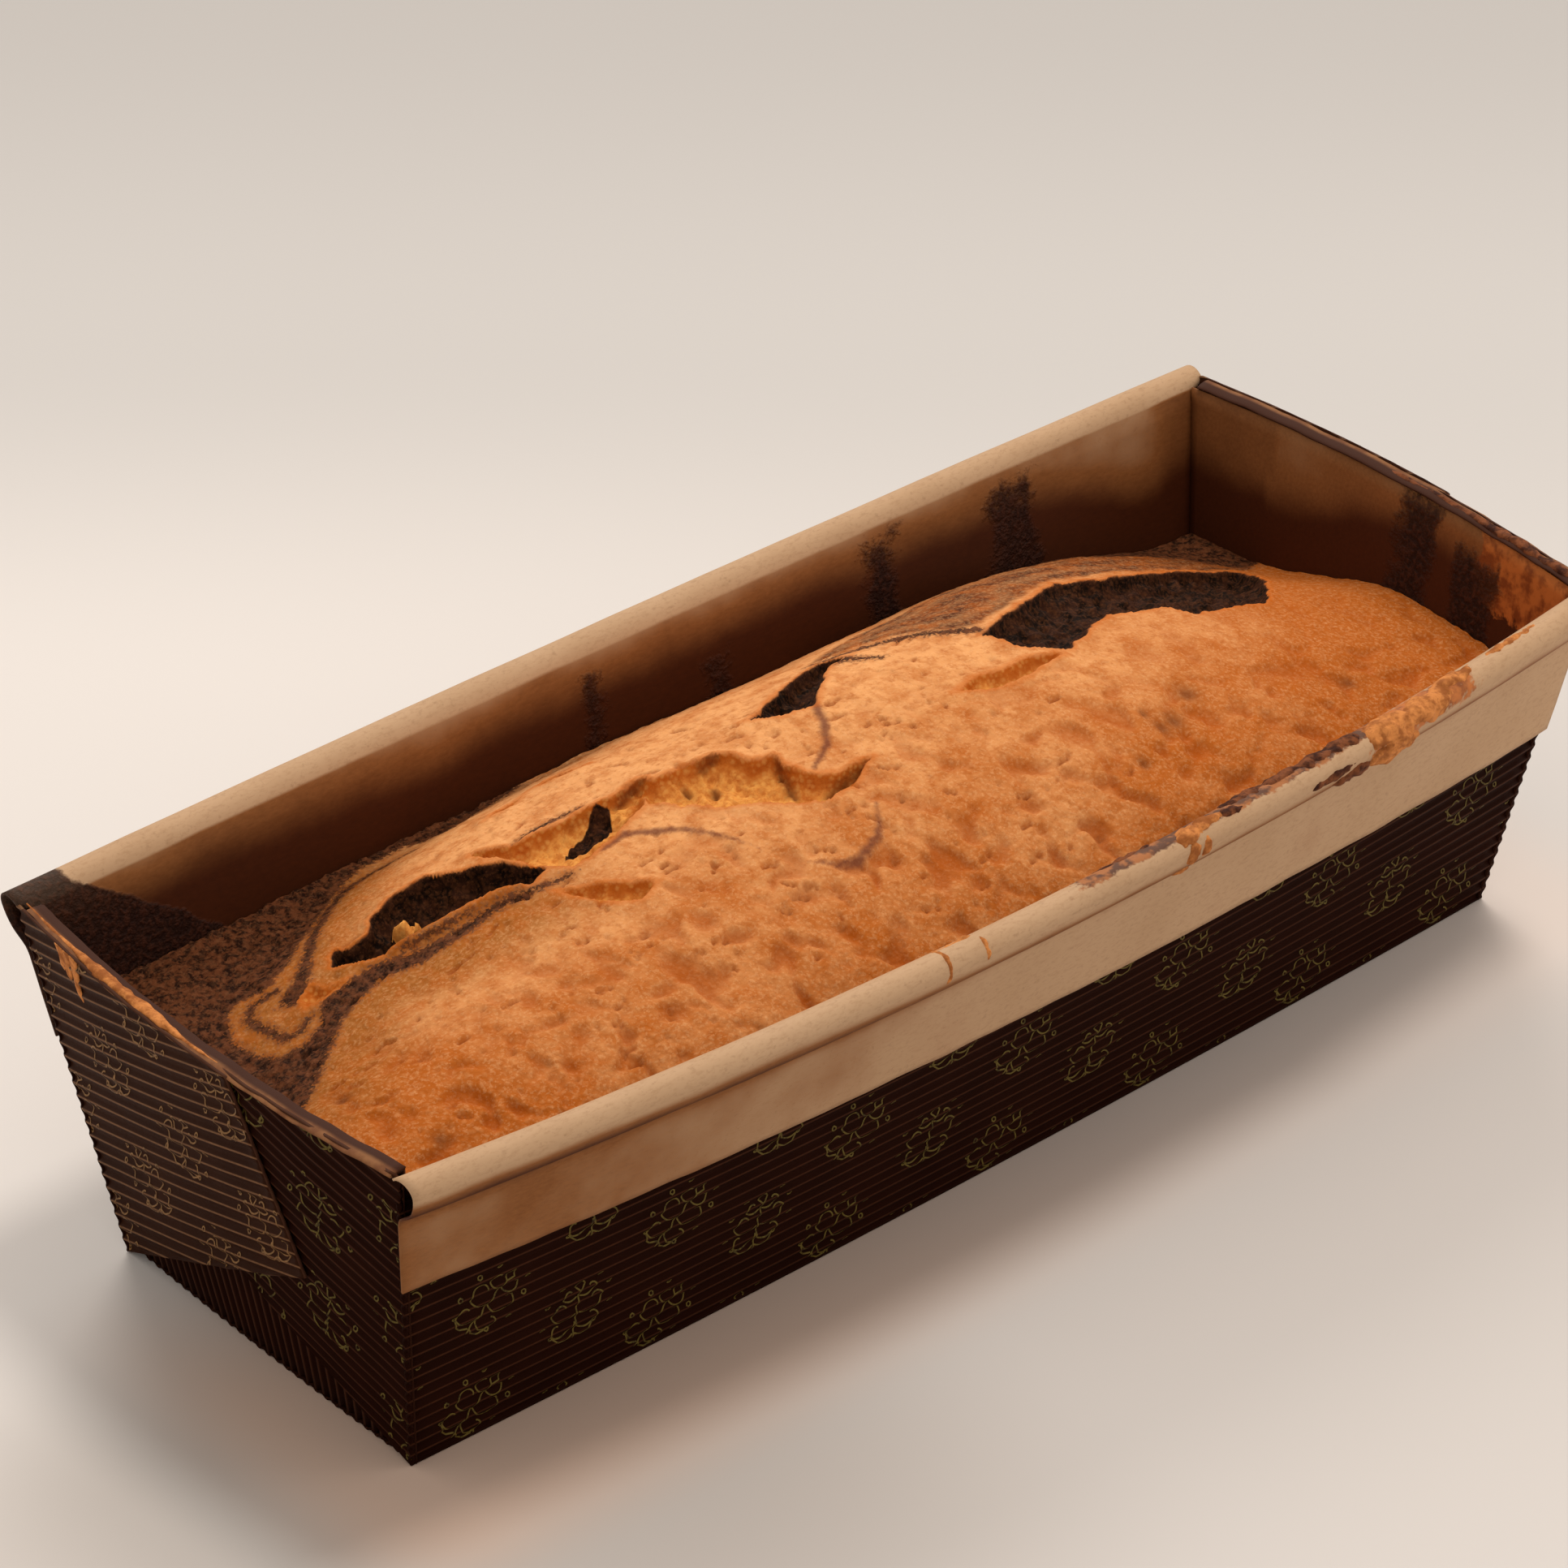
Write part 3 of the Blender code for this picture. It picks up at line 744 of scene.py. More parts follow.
def crust_fields(x, y):
    """The crust's relief at (x, y) over the plain dome, and what its colours depend on."""
    near = smooth((NEAR_SIDE[0] - y) / NEAR_SIDE[1])
    plain = SWELL[1] * waves(x, y, SWELL[0], 11)
    plain += RIPPLE[1] * waves(x, y, RIPPLE[0], 12) * (0.5 + near)
    warp_x = x + DIMPLE_WARP * waves(x, y, 7.0, 15)
    warp_y = y + DIMPLE_WARP * waves(x, y, 7.0, 16)
    dimples = waves(warp_x, warp_y, DIMPLE[0], 13)
    dimples = dimples + 0.6 * waves(warp_x, warp_y, DIMPLE[0] / 2, 14)
    # hollow: the dimples, which are also painted darker as shade
    hollow = smooth((dimples + 0.05) / 0.85) * (0.15 + 0.85 * near)
    plain -= DIMPLE[1] * hollow

    jag = sum(high * waves(x, y, length, 21 + k) for k, (length, high) in enumerate(JAG))
    corner = outline_depth(x, y, DARK_CORNER)
    low_crust = smooth(corner / 3)
    chocolate = np.maximum(corner, outline_depth(x, y, FAR_END_DARK))
    chocolate = np.maximum(chocolate, line_depth(x, y, DARK_BAND, *DARK_LINES))
    tear, lips, torn, opened, crumb_chocolate, pocket = torn_crust(x, y, jag)
    chocolate = np.where(opened > -0.2, np.clip(crumb_chocolate, -4, 4), chocolate)

    coarse, fine = BARE_CRUMB
    rough = coarse[1] * layered(x, y, coarse[0], 41) + fine[1] * waves(x, y, fine[0], 45)
    rough = rough - SPONGE[1] * (1 - smooth(nearest_cell(x, y, SPONGE[0], 46) / 0.6))
    relief = plain * (1 - 0.6 * torn) + tear + lips + rough * smooth((opened - 0.3) / 1.2)
    grain = GRAIN[1] * (0.45 - nearest_cell(x, y, GRAIN[0], 51))
    grain = grain + FINE_GRAIN[1] * waves(x, y, FINE_GRAIN[0], 52)
    relief += grain * (1 + 1.6 * low_crust)
    crazing = np.abs(layered(x, y, CRAZING[0], 61, 2))
    relief -= CRAZING[2] * low_crust * (1 - smooth(crazing / CRAZING[1]))

    specks_and_pit_shade = np.zeros(x.shape)
    prick(x, y, relief, hollow, specks_and_pit_shade)
    for px, py, size in DARK_SPECKS:
        away = ((x - px) ** 2 + (y - py) ** 2) / size ** 2
        specks_and_pit_shade = np.maximum(specks_and_pit_shade, 0.8 * np.exp(-1.5 * away * (1 + 0.8 * jag)))
        relief -= SPECK_DEPTH * np.exp(-away)
    # Browning and painted shade together: darker towards the near wall and into the near end's
    # corner, where the case shades the crust, and darker towards the far end, which also tones down
    # the light there.
    end_corner = smooth((x + 62) / -34) * smooth((10 - y) / 26)
    browning_and_shade = 0.6 * near + 0.55 * end_corner + 0.8 * smooth((x - 50) / 44)
    browning_and_shade += 0.25 * waves(x, y, 18.0, 81) - 0.1 + 0.25 * smooth((x - 15) / 35)
    to_dark = np.maximum(line_depth(x, y, DARK_BAND), corner)
    pale = smooth((to_dark + 15) / 12) * smooth((-40 - x) / 20) * (1 - low_crust)
    behind_patch = outline_depth(x, y, BROWN_RIDGE)
    streaks = np.sin(1.1 * behind_patch + 3.0 * layered(x, y, 12.0, 82))
    marble = smooth((behind_patch + jag) / 1.5) * (0.86 + 0.14 * streaks)
    far_edge = 0.55 * smooth((y - 20) / 14) * smooth((x + 45) / 20)
    return relief, {
        "chocolate": chocolate,
        "opened": opened,
        "hollow": np.clip(0.9 * hollow, 0, 1),
        "browning_and_shade": browning_and_shade,
        "pale": pale,
        "brown_marble": np.clip(np.maximum(marble, far_edge), 0, 1),
        "specks_and_pit_shade": np.clip(specks_and_pit_shade, 0, 1),
        "faint_line": np.clip(line_depth(x, y, *FAINT_LINES), -4, 4),
        "pocket": np.clip(pocket, -4, 4),
    }


def graded(count, low, high, closer):
    """Shares from -1 to 1, packed closer between low and high."""
    at = np.linspace(-1, 1, 801)
    dense = 1 + (closer - 1) * smooth((at - low) / 0.1) * smooth((high - at) / 0.1)
    total = np.concatenate([[0], np.cumsum((dense[1:] + dense[:-1]) / 2)])
    return np.interp(np.linspace(0, total[-1], count), total, at)


def build_cake():
    across, along = CAKE_CELLS[1] + 1, CAKE_CELLS[0] + 1
    u, v = grid(graded(along, *FINE_CELLS[0]), graded(across, *FINE_CELLS[1]))
    inset = SHEET + CAKE_GAP
    height = np.full(u.shape, 0.9 * WALL_HEIGHT)
    for _ in range(4):
        x, y = inside_case(u, v, height, inset)
        height = dome_height(x, y)
    relief, attributes = crust_fields(x, y)
    height = height + relief
    x, y = inside_case(u, v, height, inset)
    top = points_at(x, y, height).reshape(-1, 3)

    numbers = np.arange(along * across).reshape(along, across)
    rim = np.concatenate([numbers[:-1, 0], numbers[-1, :-1], numbers[:0:-1, -1],
                          numbers[0, :0:-1]])
    rim_u = u.ravel()[rim]
    rim_v = v.ravel()[rim]
    foot_x, foot_y = inside_case(rim_u, rim_v, inset, inset)
    foot = points_at(foot_x, foot_y, inset)
    first = len(top)
    below = first + np.arange(len(rim))
    sides = np.stack([np.roll(rim, -1), rim, below, np.roll(below, -1)], -1)
    quads = np.concatenate([grid_quads(along, across), sides])
    for label, values in attributes.items():
        values = values.ravel()
        attributes[label] = np.concatenate([values, values[rim]])
    floor = [list(range(first, first + len(rim)))]
    cake = make_piece("marbled_cake", np.concatenate([top, foot]), quads, crust_finish(),
                      attributes, floor)
    flip_if_inward(cake)
    place(cake, "baked_crust", "cake")


def make_used(name, points, quads, material, slot):
    """A piece of only those points that the quads use."""
    used = np.unique(quads)
    number = np.full(len(points), -1)
    number[used] = np.arange(len(used))
    place(make_piece(name, points[used], number[quads], material), slot)


def flip_if_inward(piece):
    """Turns every face over when the closed piece's faces point in."""
    mesh = piece.data
    corners = np.empty(len(mesh.vertices) * 3)
    mesh.vertices.foreach_get("co", corners)
    corners = corners.reshape(-1, 3)
    mesh.calc_loop_triangles()
    triangles = np.empty(len(mesh.loop_triangles) * 3, np.int32)
    mesh.loop_triangles.foreach_get("vertices", triangles)
    a, b, c = (corners[triangles.reshape(-1, 3)[:, k]] for k in range(3))
    volume = np.einsum("ij,ij->i", a, np.cross(b, c)).sum()
    if volume < 0:
        mesh.flip_normals()


# ==== the paper case ====
def named(kind, side):
    return kind + ("_near" if side < 0 else "_far")


def within_box(x):
    return np.clip(x, CAD_BOX[0][0] / MM, CAD_BOX[1][0] / MM)


def distances(line):
    """How far along a flat line each of its points lies."""
    return np.concatenate([[0], np.cumsum(np.hypot(*np.diff(line, axis=0).T))])


def rib(q):
    """How far the corrugated face lies below its ridges, at distance q across the ribs."""
    return RIB_DEPTH * 0.5 * (1 - np.cos(2 * math.pi * q / RIB_PITCH))


def ridge(q):
    """1 on the ridges of the ribs, 0 in the valleys."""
    return 1 - rib(q) / RIB_DEPTH


def cuff_section():
    """The liner's section over a long wall: (outset, height) from the floor to the cuff's edge."""
    inner = [(-SHEET, z) for z in (SHEET, 12.0, 22.0, 30.0)]
    inner += [(-SHEET, z) for z in np.arange(35.0, ROLL_HEIGHT - 1.0, 0.8)]
    roll = []
    for turn in np.arange(170, -66, -11.5):
        high = ROLL_RADIUS if turn > 0 else ROLL_DROP
        roll.append((ROLL_OUTSET + ROLL_RADIUS * math.cos(math.radians(turn)),
                     ROLL_HEIGHT + high * math.sin(math.radians(turn))))
    tuck = [(BAND_PROUD + 0.9, 48.6), (BAND_PROUD + 0.3, 48.0), (BAND_PROUD + 0.1, 47.4)]
    band = [(BAND_PROUD, mix(BAND_TOP, 0.0, t)) for t in np.linspace(0, 1, 16)]
    return inner, roll, tuck, band


def liner_side(side, columns=150):
    """Points of the liner on one long wall, over its rim and down its cuff."""
    inner, roll, tuck, band = cuff_section()
    u = np.linspace(-1, 1, columns)
    over = len(inner)
    points = []
    for k, (outset, z) in enumerate(inner + roll + tuck + band):
        if k >= over + len(roll) + len(tuck):
            low = mix(*BAND_LOW, (u + 1) / 2) + BAND_BOTTOM_WAVE * waves(u * 100, side * 9, 7, 5)
            z = mix(BAND_TOP, low, (BAND_TOP - z) / BAND_TOP)
        z = z + np.zeros(columns)
        beyond = smooth(np.array((k - over + 2) / 5.0))
        reach = mix(end_wall_x(1, 1, z) - SHEET, end_wall_x(1, 1, z) + FLAP_PROUD[1], beyond)
        wobble = 0.25 * waves(u * 100, z + 40 * side, 22.0, 6) * smooth(np.array((k - over) / 4))
        y = side_wall_y(side, u, z) + side * (outset - np.abs(wobble) * 0.6)
        points.append(points_at(u * reach, y, z))
    return np.array(points)


def liner_end(end, rows=24, columns=60):
    z, v = grid(np.linspace(SHEET, WALL_HEIGHT - LINER_SUNK, rows), np.linspace(-1, 1, columns))
    return points_at(*inside_case(float(end), v, z, SHEET), z)


def liner_fields(x, y, z):
    """Fat that soaked into the liner together with painted shade low in the case, and the films of
    batter baked onto it.
    """
    cake_top = dome_height(np.clip(x, -103, 103), np.clip(y, -42, 38))
    # soaked fat with painted shade: darker the nearer the liner lies to the cake's crust, darker at
    # the far end and towards the far wall's ends
    soaked_and_shaded = (1 - smooth((z - cake_top + 1.0) / 17.0)) * smooth((z - 20) / 4)
    soaked_and_shaded = soaked_and_shaded + 0.14 + 0.2 * smooth((x - 95) / 5)
    soaked_and_shaded = soaked_and_shaded + 0.12 * smooth((np.abs(x - 5) - 40) / 30) * (y > 25)
    corner = (-97 + 1.4 * (54 - z)) - x
    corner = np.where(y > 25, corner, y - (34 - 1.1 * (54 - z)))
    corner = np.where(x < -70, corner + 1.2 * layered(x + y, z, 6.0, 91), OUTSIDE)
    batter = np.where(y > 15, corner, OUTSIDE)
    for marks, along, on_wall, uneven, seed, steep, most in (
            (FAR_WALL_FILMS, x, y > 20, 0.6, 92, 0.3, 0.3),
            (FAR_END_FILMS, y, x > 90, 0.5, 93, 0.4, 0.6)):
        for at, low, high, wide in marks:
            spread = wide * (1 + uneven * waves(along, z, 5.0, seed)) - np.abs(along - at)
            band = np.minimum(steep * spread, most)
            band = np.minimum(band, np.minimum(z - low, high - z) * 0.3)
            batter = np.maximum(batter, np.where(on_wall, band, OUTSIDE))
    orange = np.where(x > 96, np.minimum(-16 - y, z - 44) + 2 * waves(y, z, 5.0, 94), OUTSIDE)
    return {"soaked_and_shaded": soaked_and_shaded, "batter": np.clip(batter, OUTSIDE, 4),
            "orange_batter": np.clip(orange, OUTSIDE, 4), "smear": np.full(x.shape, OUTSIDE)}


def cuff_fields(side, sheet):
    """The same fields for a long wall's sheet: past its inner wall they are its cuff's own."""
    x, _, z = np.moveaxis(sheet, -1, 0)
    found = liner_fields(*np.moveaxis(sheet, -1, 0))
    past = np.arange(len(sheet))[:, None] - len(cuff_section()[0])
    # a line of fat under the roll, also painted shade under the roll
    cuff_darkening = 0.5 * np.exp(-((z - FAT_AND_SHADE_LINE) / 2.0) ** 2) * (past > ROLL_TURN + 1)
    # the cuff darker towards the near end
    cuff_darkening = cuff_darkening + 0.32 * smooth((20 - x) / 120) * smooth((54 - z) / 3)
    found["soaked_and_shaded"] = np.where(past > 0, cuff_darkening, found["soaked_and_shaded"])
    dark_end = np.where(x < -60, -96.5 - x + 0.8 * waves(z, x, 4.0, 95), OUTSIDE)
    found["batter"] = np.where(past > ROLL_TURN, dark_end if side > 0 else OUTSIDE, found["batter"])
    found["orange_batter"] = np.where(past > ROLL_TURN, OUTSIDE, found["orange_batter"])
    if side < 0:
        found["smear"] = np.minimum(3.4 - 0.9 * np.abs(past - 5), np.minimum(x + 1, 60 - x) * 0.4)
        film = np.minimum(3.0 - 0.5 * np.abs(past - 9), np.minimum(x - 54, 76 - x) * 0.4)
        found["orange_batter"] = np.where(past > 0, film, found["orange_batter"])
    return found


def build_liner(material):
    """Kraft lining inside, turned over the long walls into rolled rims and flat cuffs."""
    sheets = []
    for side in (-1, 1):
        sheet = liner_side(side)
        sheets.append((sheet, cuff_fields(side, sheet), side < 0))
    for end in (-1, 1):
        sheet = liner_end(end)
        sheets.append((sheet, liner_fields(*np.moveaxis(sheet, -1, 0)), end < 0))
    u, v = grid(np.linspace(-1, 1, 12), np.linspace(-1, 1, 6))
    x, y = inside_case(u, v, SHEET, SHEET)
    clean = {label: np.full(u.shape, OUTSIDE) for label in ("batter", "orange_batter", "smear")}
    soaked_floor = {"soaked_and_shaded": np.ones(u.shape), **clean}
    sheets.append((points_at(x, y, SHEET), soaked_floor, True))
    quads = []
    count = 0
    for sheet, _, turned in sheets:
        faces = grid_quads(*sheet.shape[:2], count)
        quads.append(faces[:, ::-1] if turned else faces)
        count += sheet[..., 0].size
    fields = {label: np.concatenate([found[label].ravel() for _, found, _ in sheets])
              for label in soaked_floor}
    points = np.concatenate([sheet.reshape(-1, 3) for sheet, _, _ in sheets])
    liner = make_piece("kraft_liner", points, np.concatenate(quads), material, fields)
    thicken(liner, PAPER)
    place(liner, "kraft_liner", "paper_case")


def ribbed_sheet(name, points, across_ribs, material, turned, thickness=PAPER, **cut):
    """A piece of corrugated paper from the rows of points on its face."""
    quads = grid_quads(*points.shape[:2])
    sheet = make_piece(name, points, quads[:, ::-1] if turned else quads, material,
                       {"ridge": ridge(across_ribs)})
    thicken(sheet, thickness, **cut)
    place(sheet, "printed_paper", "paper_case")


def long_wall(side, x_share, z, below=0.0):
    """A point of a long wall's ribbed face; the share runs -1..1 along the wall."""
    reach = end_wall_x(1, 1, z) + FLAP_PROUD[side > 0]
    y = side_wall_y(side, x_share, z) - side * (rib(z) + below)
    return points_at(x_share * reach, y, z)


def flap_reach(outer, q):
    """How far the flap's rib that starts at height q of the corner fold runs."""
    side = 1 if outer else -1
    tip_y, tip_z = OUTER_TIP if outer else FOLD_APEX
    top_y = OUTER_TOP_Y if outer else INNER_TOP_Y
    d = np.linspace(0, 62, 1241)
    z = q[:, None] + d * FLAP_SLOPE
    y = side_wall_y(side, 1, z) - side * d
    foot_y = side_wall_y(side, 1, 0.0)
    fold = tip_z / ((foot_y - tip_y) * side)
    above_fold = z - (foot_y - y) * side * fold
    cut_y = mix(tip_y, top_y, (z - tip_z) / (WALL_HEIGHT - tip_z))
    inside = (above_fold >= -1e-6) & ((y - cut_y) * side >= 0) & (z <= WALL_HEIGHT)
    return d[np.where(inside, np.arange(len(d)), 0).max(axis=1)]


def flap_point(end, outer, q, d, reach):
    """A point of a flap's ribbed face: rib height q at the corner fold, d along the rib."""
    side = 1 if outer else -1
    z = q + d * FLAP_SLOPE
    y = side_wall_y(side, 1, z) - side * d
    slack = 0.15 * np.abs(waves(y, z + 60 * outer + 10 * end, 17.0, 7)) * smooth(d / 6)
    pressed = smooth((reach - d) / 2.0)
    out = FLAP_PROUD[outer] - rib(q) * pressed - slack
    return points_at(within_box(end_wall_x(end, share_across(y, z), z) + end * out), y, z)


def build_flap(end, outer, material, cut_edge):
    q = np.arange(FIRST_RIB, WALL_HEIGHT - 0.05, RIB_PITCH / RIB_STEPS)
    reach = flap_reach(outer, q)[:, None]
    share = np.linspace(0, 1, 40)
    rise = q[:, None] + 0 * share
    side = 1 if outer else -1

    def is_cut(x, y, z):
        return z > 2 and side * (side_wall_y(side, 1, z) - y) > 1.5

    ribbed_sheet(named(LAYER_NAMES[outer] + "_flap", end),
                 flap_point(end, outer, rise, reach * share, reach), rise, material,
                 (end > 0) == outer, PAPER + 0.15, cut_edge=cut_edge, is_cut=is_cut)


def build_long_wall(side, material):
    z = np.arange(FIRST_RIB, 50.0, RIB_PITCH / RIB_STEPS)[:, None]
    u = np.linspace(-1, 1, 60) + 0 * z
    height = z + 0 * u
    ribbed_sheet(named("ribbed_wall", side), long_wall(side, u, height), height, material, side > 0)


def panel_x(end, v, z, sunk):
    """The end wall's own face, whose ribs run up it."""
    return end_wall_x(end, v, z) - end * (sunk + rib(PANEL_HALF * v))


def build_end_panel(end, material):
    """The end wall itself; it shows as a triangle under the flaps."""
    v = np.arange(-1, 1.0001, RIB_PITCH / RIB_STEPS / PANEL_HALF)[:, None]
    z = np.linspace(FIRST_RIB, WALL_HEIGHT - 1.2, 16) + 0 * v
    v = v + 0 * z
    y = mix(side_wall_y(-1, 1, z), side_wall_y(1, 1, z), (v + 1) / 2)
    points = points_at(panel_x(end, v, z, PANEL_SUNK), y, z)
    ribbed_sheet(named("end_panel", end), points, PANEL_HALF * v, material, end < 0)


def build_underside(material):
    """The bottom sheet, resting on the ridges of its ribs."""
    v = np.arange(-1, 1.0001, RIB_PITCH / RIB_STEPS / UNDERSIDE_HALF)[:, None]
    u = np.linspace(-1, 1, 24) + 0 * v
    v = v + 0 * u
    points = points_at(*inside_case(u, v, 0.0, 0.0), rib(UNDERSIDE_HALF * v))
    ribbed_sheet("ribbed_underside", points, UNDERSIDE_HALF * v, material, True)


# ---- the print: an own scroll sprig, repeated on a half-drop lattice ----
SPRIG_ACROSS = 15.0           # columns of the lattice
SPRIG_UP = 19.0               # sprigs in one column
SPRIG_LINE = 0.115            # half width of a line
SPRIG_STEP = 0.3
BERRY = 0.35
SPRIG_TILT = 0.35             # odd columns lean the other way
SPRIG_FIRST = 6.0             # height of the first sprig's middle
INK_PROUD = 0.06


def volute(centre, radii, angles, steps=26):
    """A scroll: a spiral about its centre from the first radius and angle to the last."""
    line = []
    for t in np.arange(steps + 1) / steps:
        angle = math.radians(mix(*angles, t))
        radius = mix(*radii, t ** 0.8)
        line.append((centre[0] + radius * math.cos(angle), centre[1] + radius * math.sin(angle)))
    return line


def sprig_lines():
    """The lines of one sprig about its middle: a stem, curled fronds tipped with berries."""
    right = [volute((2.6, -2.6), (2.6, 0.5), (175, 455)),
             volute((2.5, 0.9), (2.7, 0.6), (215, 500)),
             volute((1.6, 3.4), (1.8, 0.4), (220, 480)),
             [(0.1, -4.6), (1.2, -5.2), (2.4, -5.0), (3.2, -4.2)]]
    for x, y in ((4.9, 2.6), (5.4, -1.2), (3.5, -3.9), (3.0, 5.0)):
        right.append([(x + BERRY * math.cos(a), y + BERRY * math.sin(a))
                      for a in np.linspace(0, 2 * math.pi, 7)])
    lines = [[(0.0, -5.4), (0.3, -3.0), (0.0, -0.6), (0.0, 3.4)],
             [(0.0, 3.4), (0.8, 4.3), (0.0, 5.4), (-0.8, 4.3), (0.0, 3.4)]]
    return lines + [np.array(line) * (mirror, 1) for mirror in (-1, 1) for line in right]


def resampled(line, step):
    line = np.array(line)
    at = distances(line)
    wanted = np.linspace(0, at[-1], max(int(at[-1] / step), 1) + 1)
    return np.stack([np.interp(wanted, at, line[:, 0]), np.interp(wanted, at, line[:, 1])], -1)


def print_sprigs(name, surface, allowed, across, up, lean, material):
    """Lays the sprigs' lines on a surface, where allowed(s, t); surface(s, t) gives its points."""
    points = []
    quads = []
    strokes = [resampled(line, SPRIG_STEP) for line in sprig_lines()]
    first_column = math.floor(across[0] / SPRIG_ACROSS)
    for column in range(first_column, math.ceil(across[1] / SPRIG_ACROSS) + 1):
        odd = column % 2
        tilt = lean + (SPRIG_TILT if odd else -SPRIG_TILT)
        turn = np.array([[math.cos(tilt), math.sin(tilt)], [-math.sin(tilt), math.cos(tilt)]])
        for row in range(int(up[0] // SPRIG_UP) - 1, int(up[1] // SPRIG_UP) + 2):
            centre = np.array([column * SPRIG_ACROSS, (row + odd / 2) * SPRIG_UP + SPRIG_FIRST])
            for stroke in strokes:
                line = stroke @ turn + centre
                ways = np.gradient(line, axis=0)
                ways /= np.maximum(np.hypot(*ways.T), 1e-9)[:, None]
                beside = np.stack([-ways[:, 1], ways[:, 0]], -1) * SPRIG_LINE
                edges = np.moveaxis(np.stack([line - beside, line + beside], 1), -1, 0)
                fits = allowed(*edges).all(axis=1)
                a = len(points) + 2 * np.flatnonzero(fits[:-1] & fits[1:])[:, None]
                quads.append(a + [0, 1, 3, 2])
                points.extend(surface(*edges).reshape(-1, 3))
    make_used(name, np.array(points), np.concatenate(quads), material, "printed_paper")


def print_long_wall(side, material):
    def surface(s, t):
        return long_wall(side, s / (end_wall_x(1, 1, t) + FLAP_PROUD[0]), t, -INK_PROUD)

    def allowed(s, t):
        low = mix(*BAND_LOW, (s / 105 + 1) / 2)
        return (t > 0.4) & (t < low + 2) & (np.abs(s) < end_wall_x(1, 1, t) - 0.3)

    print_sprigs(named("print_wall", side), surface, allowed, (-105, 105), (0, 36), 0.35 * side,
                 material)


def print_end_panel(end, material):
    """The sprigs on the triangle of the end wall that shows under both flaps."""
    near_foot = side_wall_y(-1, 1, 0.0)
    far_foot = side_wall_y(1, 1, 0.0)

    def surface(s, t):
        near = side_wall_y(-1, 1, t)
        v = 2 * (s - near) / (side_wall_y(1, 1, t) - near) - 1
        return points_at(panel_x(end, v, t, PANEL_SUNK - INK_PROUD), s, t)

    def allowed(s, t):
        under_inner = FOLD_APEX[1] * (s - near_foot) / (FOLD_APEX[0] - near_foot)
        under_outer = OUTER_TIP[1] * (far_foot - s) / (far_foot - OUTER_TIP[0])
        return (t > 0.4) & (t < under_inner) & (t < under_outer)

    print_sprigs(named("print_panel", end), surface, allowed, (-34, 38), (0, 24), 0.4, material)


def print_flap(end, outer, material):
    heights = np.arange(FIRST_RIB, WALL_HEIGHT, 0.2)
    reaches = flap_reach(outer, heights)

    def surface(d, q):
        points = flap_point(end, outer, q, d, np.interp(q, heights, reaches))
        points[..., 0] = within_box(points[..., 0] + end * INK_PROUD)
        return points

    def allowed(d, q):
        on_rib = (d > 0.3) & (d < np.interp(q, heights, reaches) - 0.2)
        return on_rib & (q > 0.4) & (q < WALL_HEIGHT - 1)

    print_sprigs(named("print_flap_" + LAYER_NAMES[outer], end), surface, allowed, (0, 60),
                 (0, 56), 0.2 * end, material)


def build_case():
    kraft = kraft_finish()
    cut_paper = cut_paper_finish()
    printed = printed_finish("printed_paper_look", (24, 8, 4), (40, 16, 9), (80, 46, 29))
    # lighter copies of the printed paper and its ink for the outer flaps: painted sheen
    sheen_printed = printed_finish("sheen_printed_paper_look", (38, 18, 10), (56, 30, 17), (150, 108, 76))
    ink = sprig_finish("olive_gold_ink", (48, 36, 15), (96, 80, 32))
    sheen_tan_ink = sprig_finish("sheen_tan_gold_ink", (84, 56, 30), (136, 98, 56))
    build_liner(kraft)
    build_underside(printed)
    for side in (-1, 1):
        build_long_wall(side, printed)
        print_long_wall(side, ink)
    for end in (-1, 1):
        build_end_panel(end, printed)
        print_end_panel(end, ink)
        for outer in (False, True):
            build_flap(end, outer, sheen_printed if outer else printed, cut_paper)
            print_flap(end, outer, sheen_tan_ink if outer else ink)
    build_end_edges(cut_paper)


# ==== batter over the rims ====
BEAD_SIDES = 16
LEAST_BEAD = 0.12
BEAD_FLATTEN = 0.7
CUT_EDGE = (1.5, 0.26)        # half width, and its height as a share of that
LUMP_ROOT = 0.35              # lumps on the roll start this far under its surface
LUMP_STEP = 0.3


def closed_tube(name, ring, material, slot, attributes=None):
    """A tube from its rings of points, with both ends closed."""
    rows, sides = ring.shape[:2]
    caps = [list(range(sides))[::-1], list(range((rows - 1) * sides, rows * sides))]
    tube = make_piece(name, ring, grid_quads(rows, sides, closed=True), material, attributes, caps)
    flip_if_inward(tube)
    place(tube, slot)


def bead(name, path, radii, flatten, material, seed, slot="baked_crust", lumpy=0.35,
         inner_way=0.0):
    """A lumpy bead along a path; its attribute says which side of it faces the cake."""
    ways = np.gradient(path, axis=0)
    ways /= np.linalg.norm(ways, axis=1)[:, None]
    rights = np.cross(ways, (0.0, 0.0, 1.0))
    rights /= np.linalg.norm(rights, axis=1)[:, None]
    lifts = np.cross(rights, ways)
    angle = np.linspace(0, 2 * math.pi, BEAD_SIDES, endpoint=False)
    length = np.concatenate([[0], np.cumsum(np.linalg.norm(np.diff(path, axis=0), axis=1))])
    lumps = 1 + lumpy * layered(length[:, None], 3 * np.cos(angle)[None, :], 3.0, seed)
    size = radii[:, None] * lumps
    ring = (path[:, None, :] + rights[:, None, :] * (size * np.cos(angle))[..., None]
            + lifts[:, None, :] * (size * np.sin(angle) * flatten)[..., None])
    inward = inner_way * np.cos(angle) + np.zeros((len(path), 1))
    closed_tube(name, ring, material, slot, {"inward": inward})


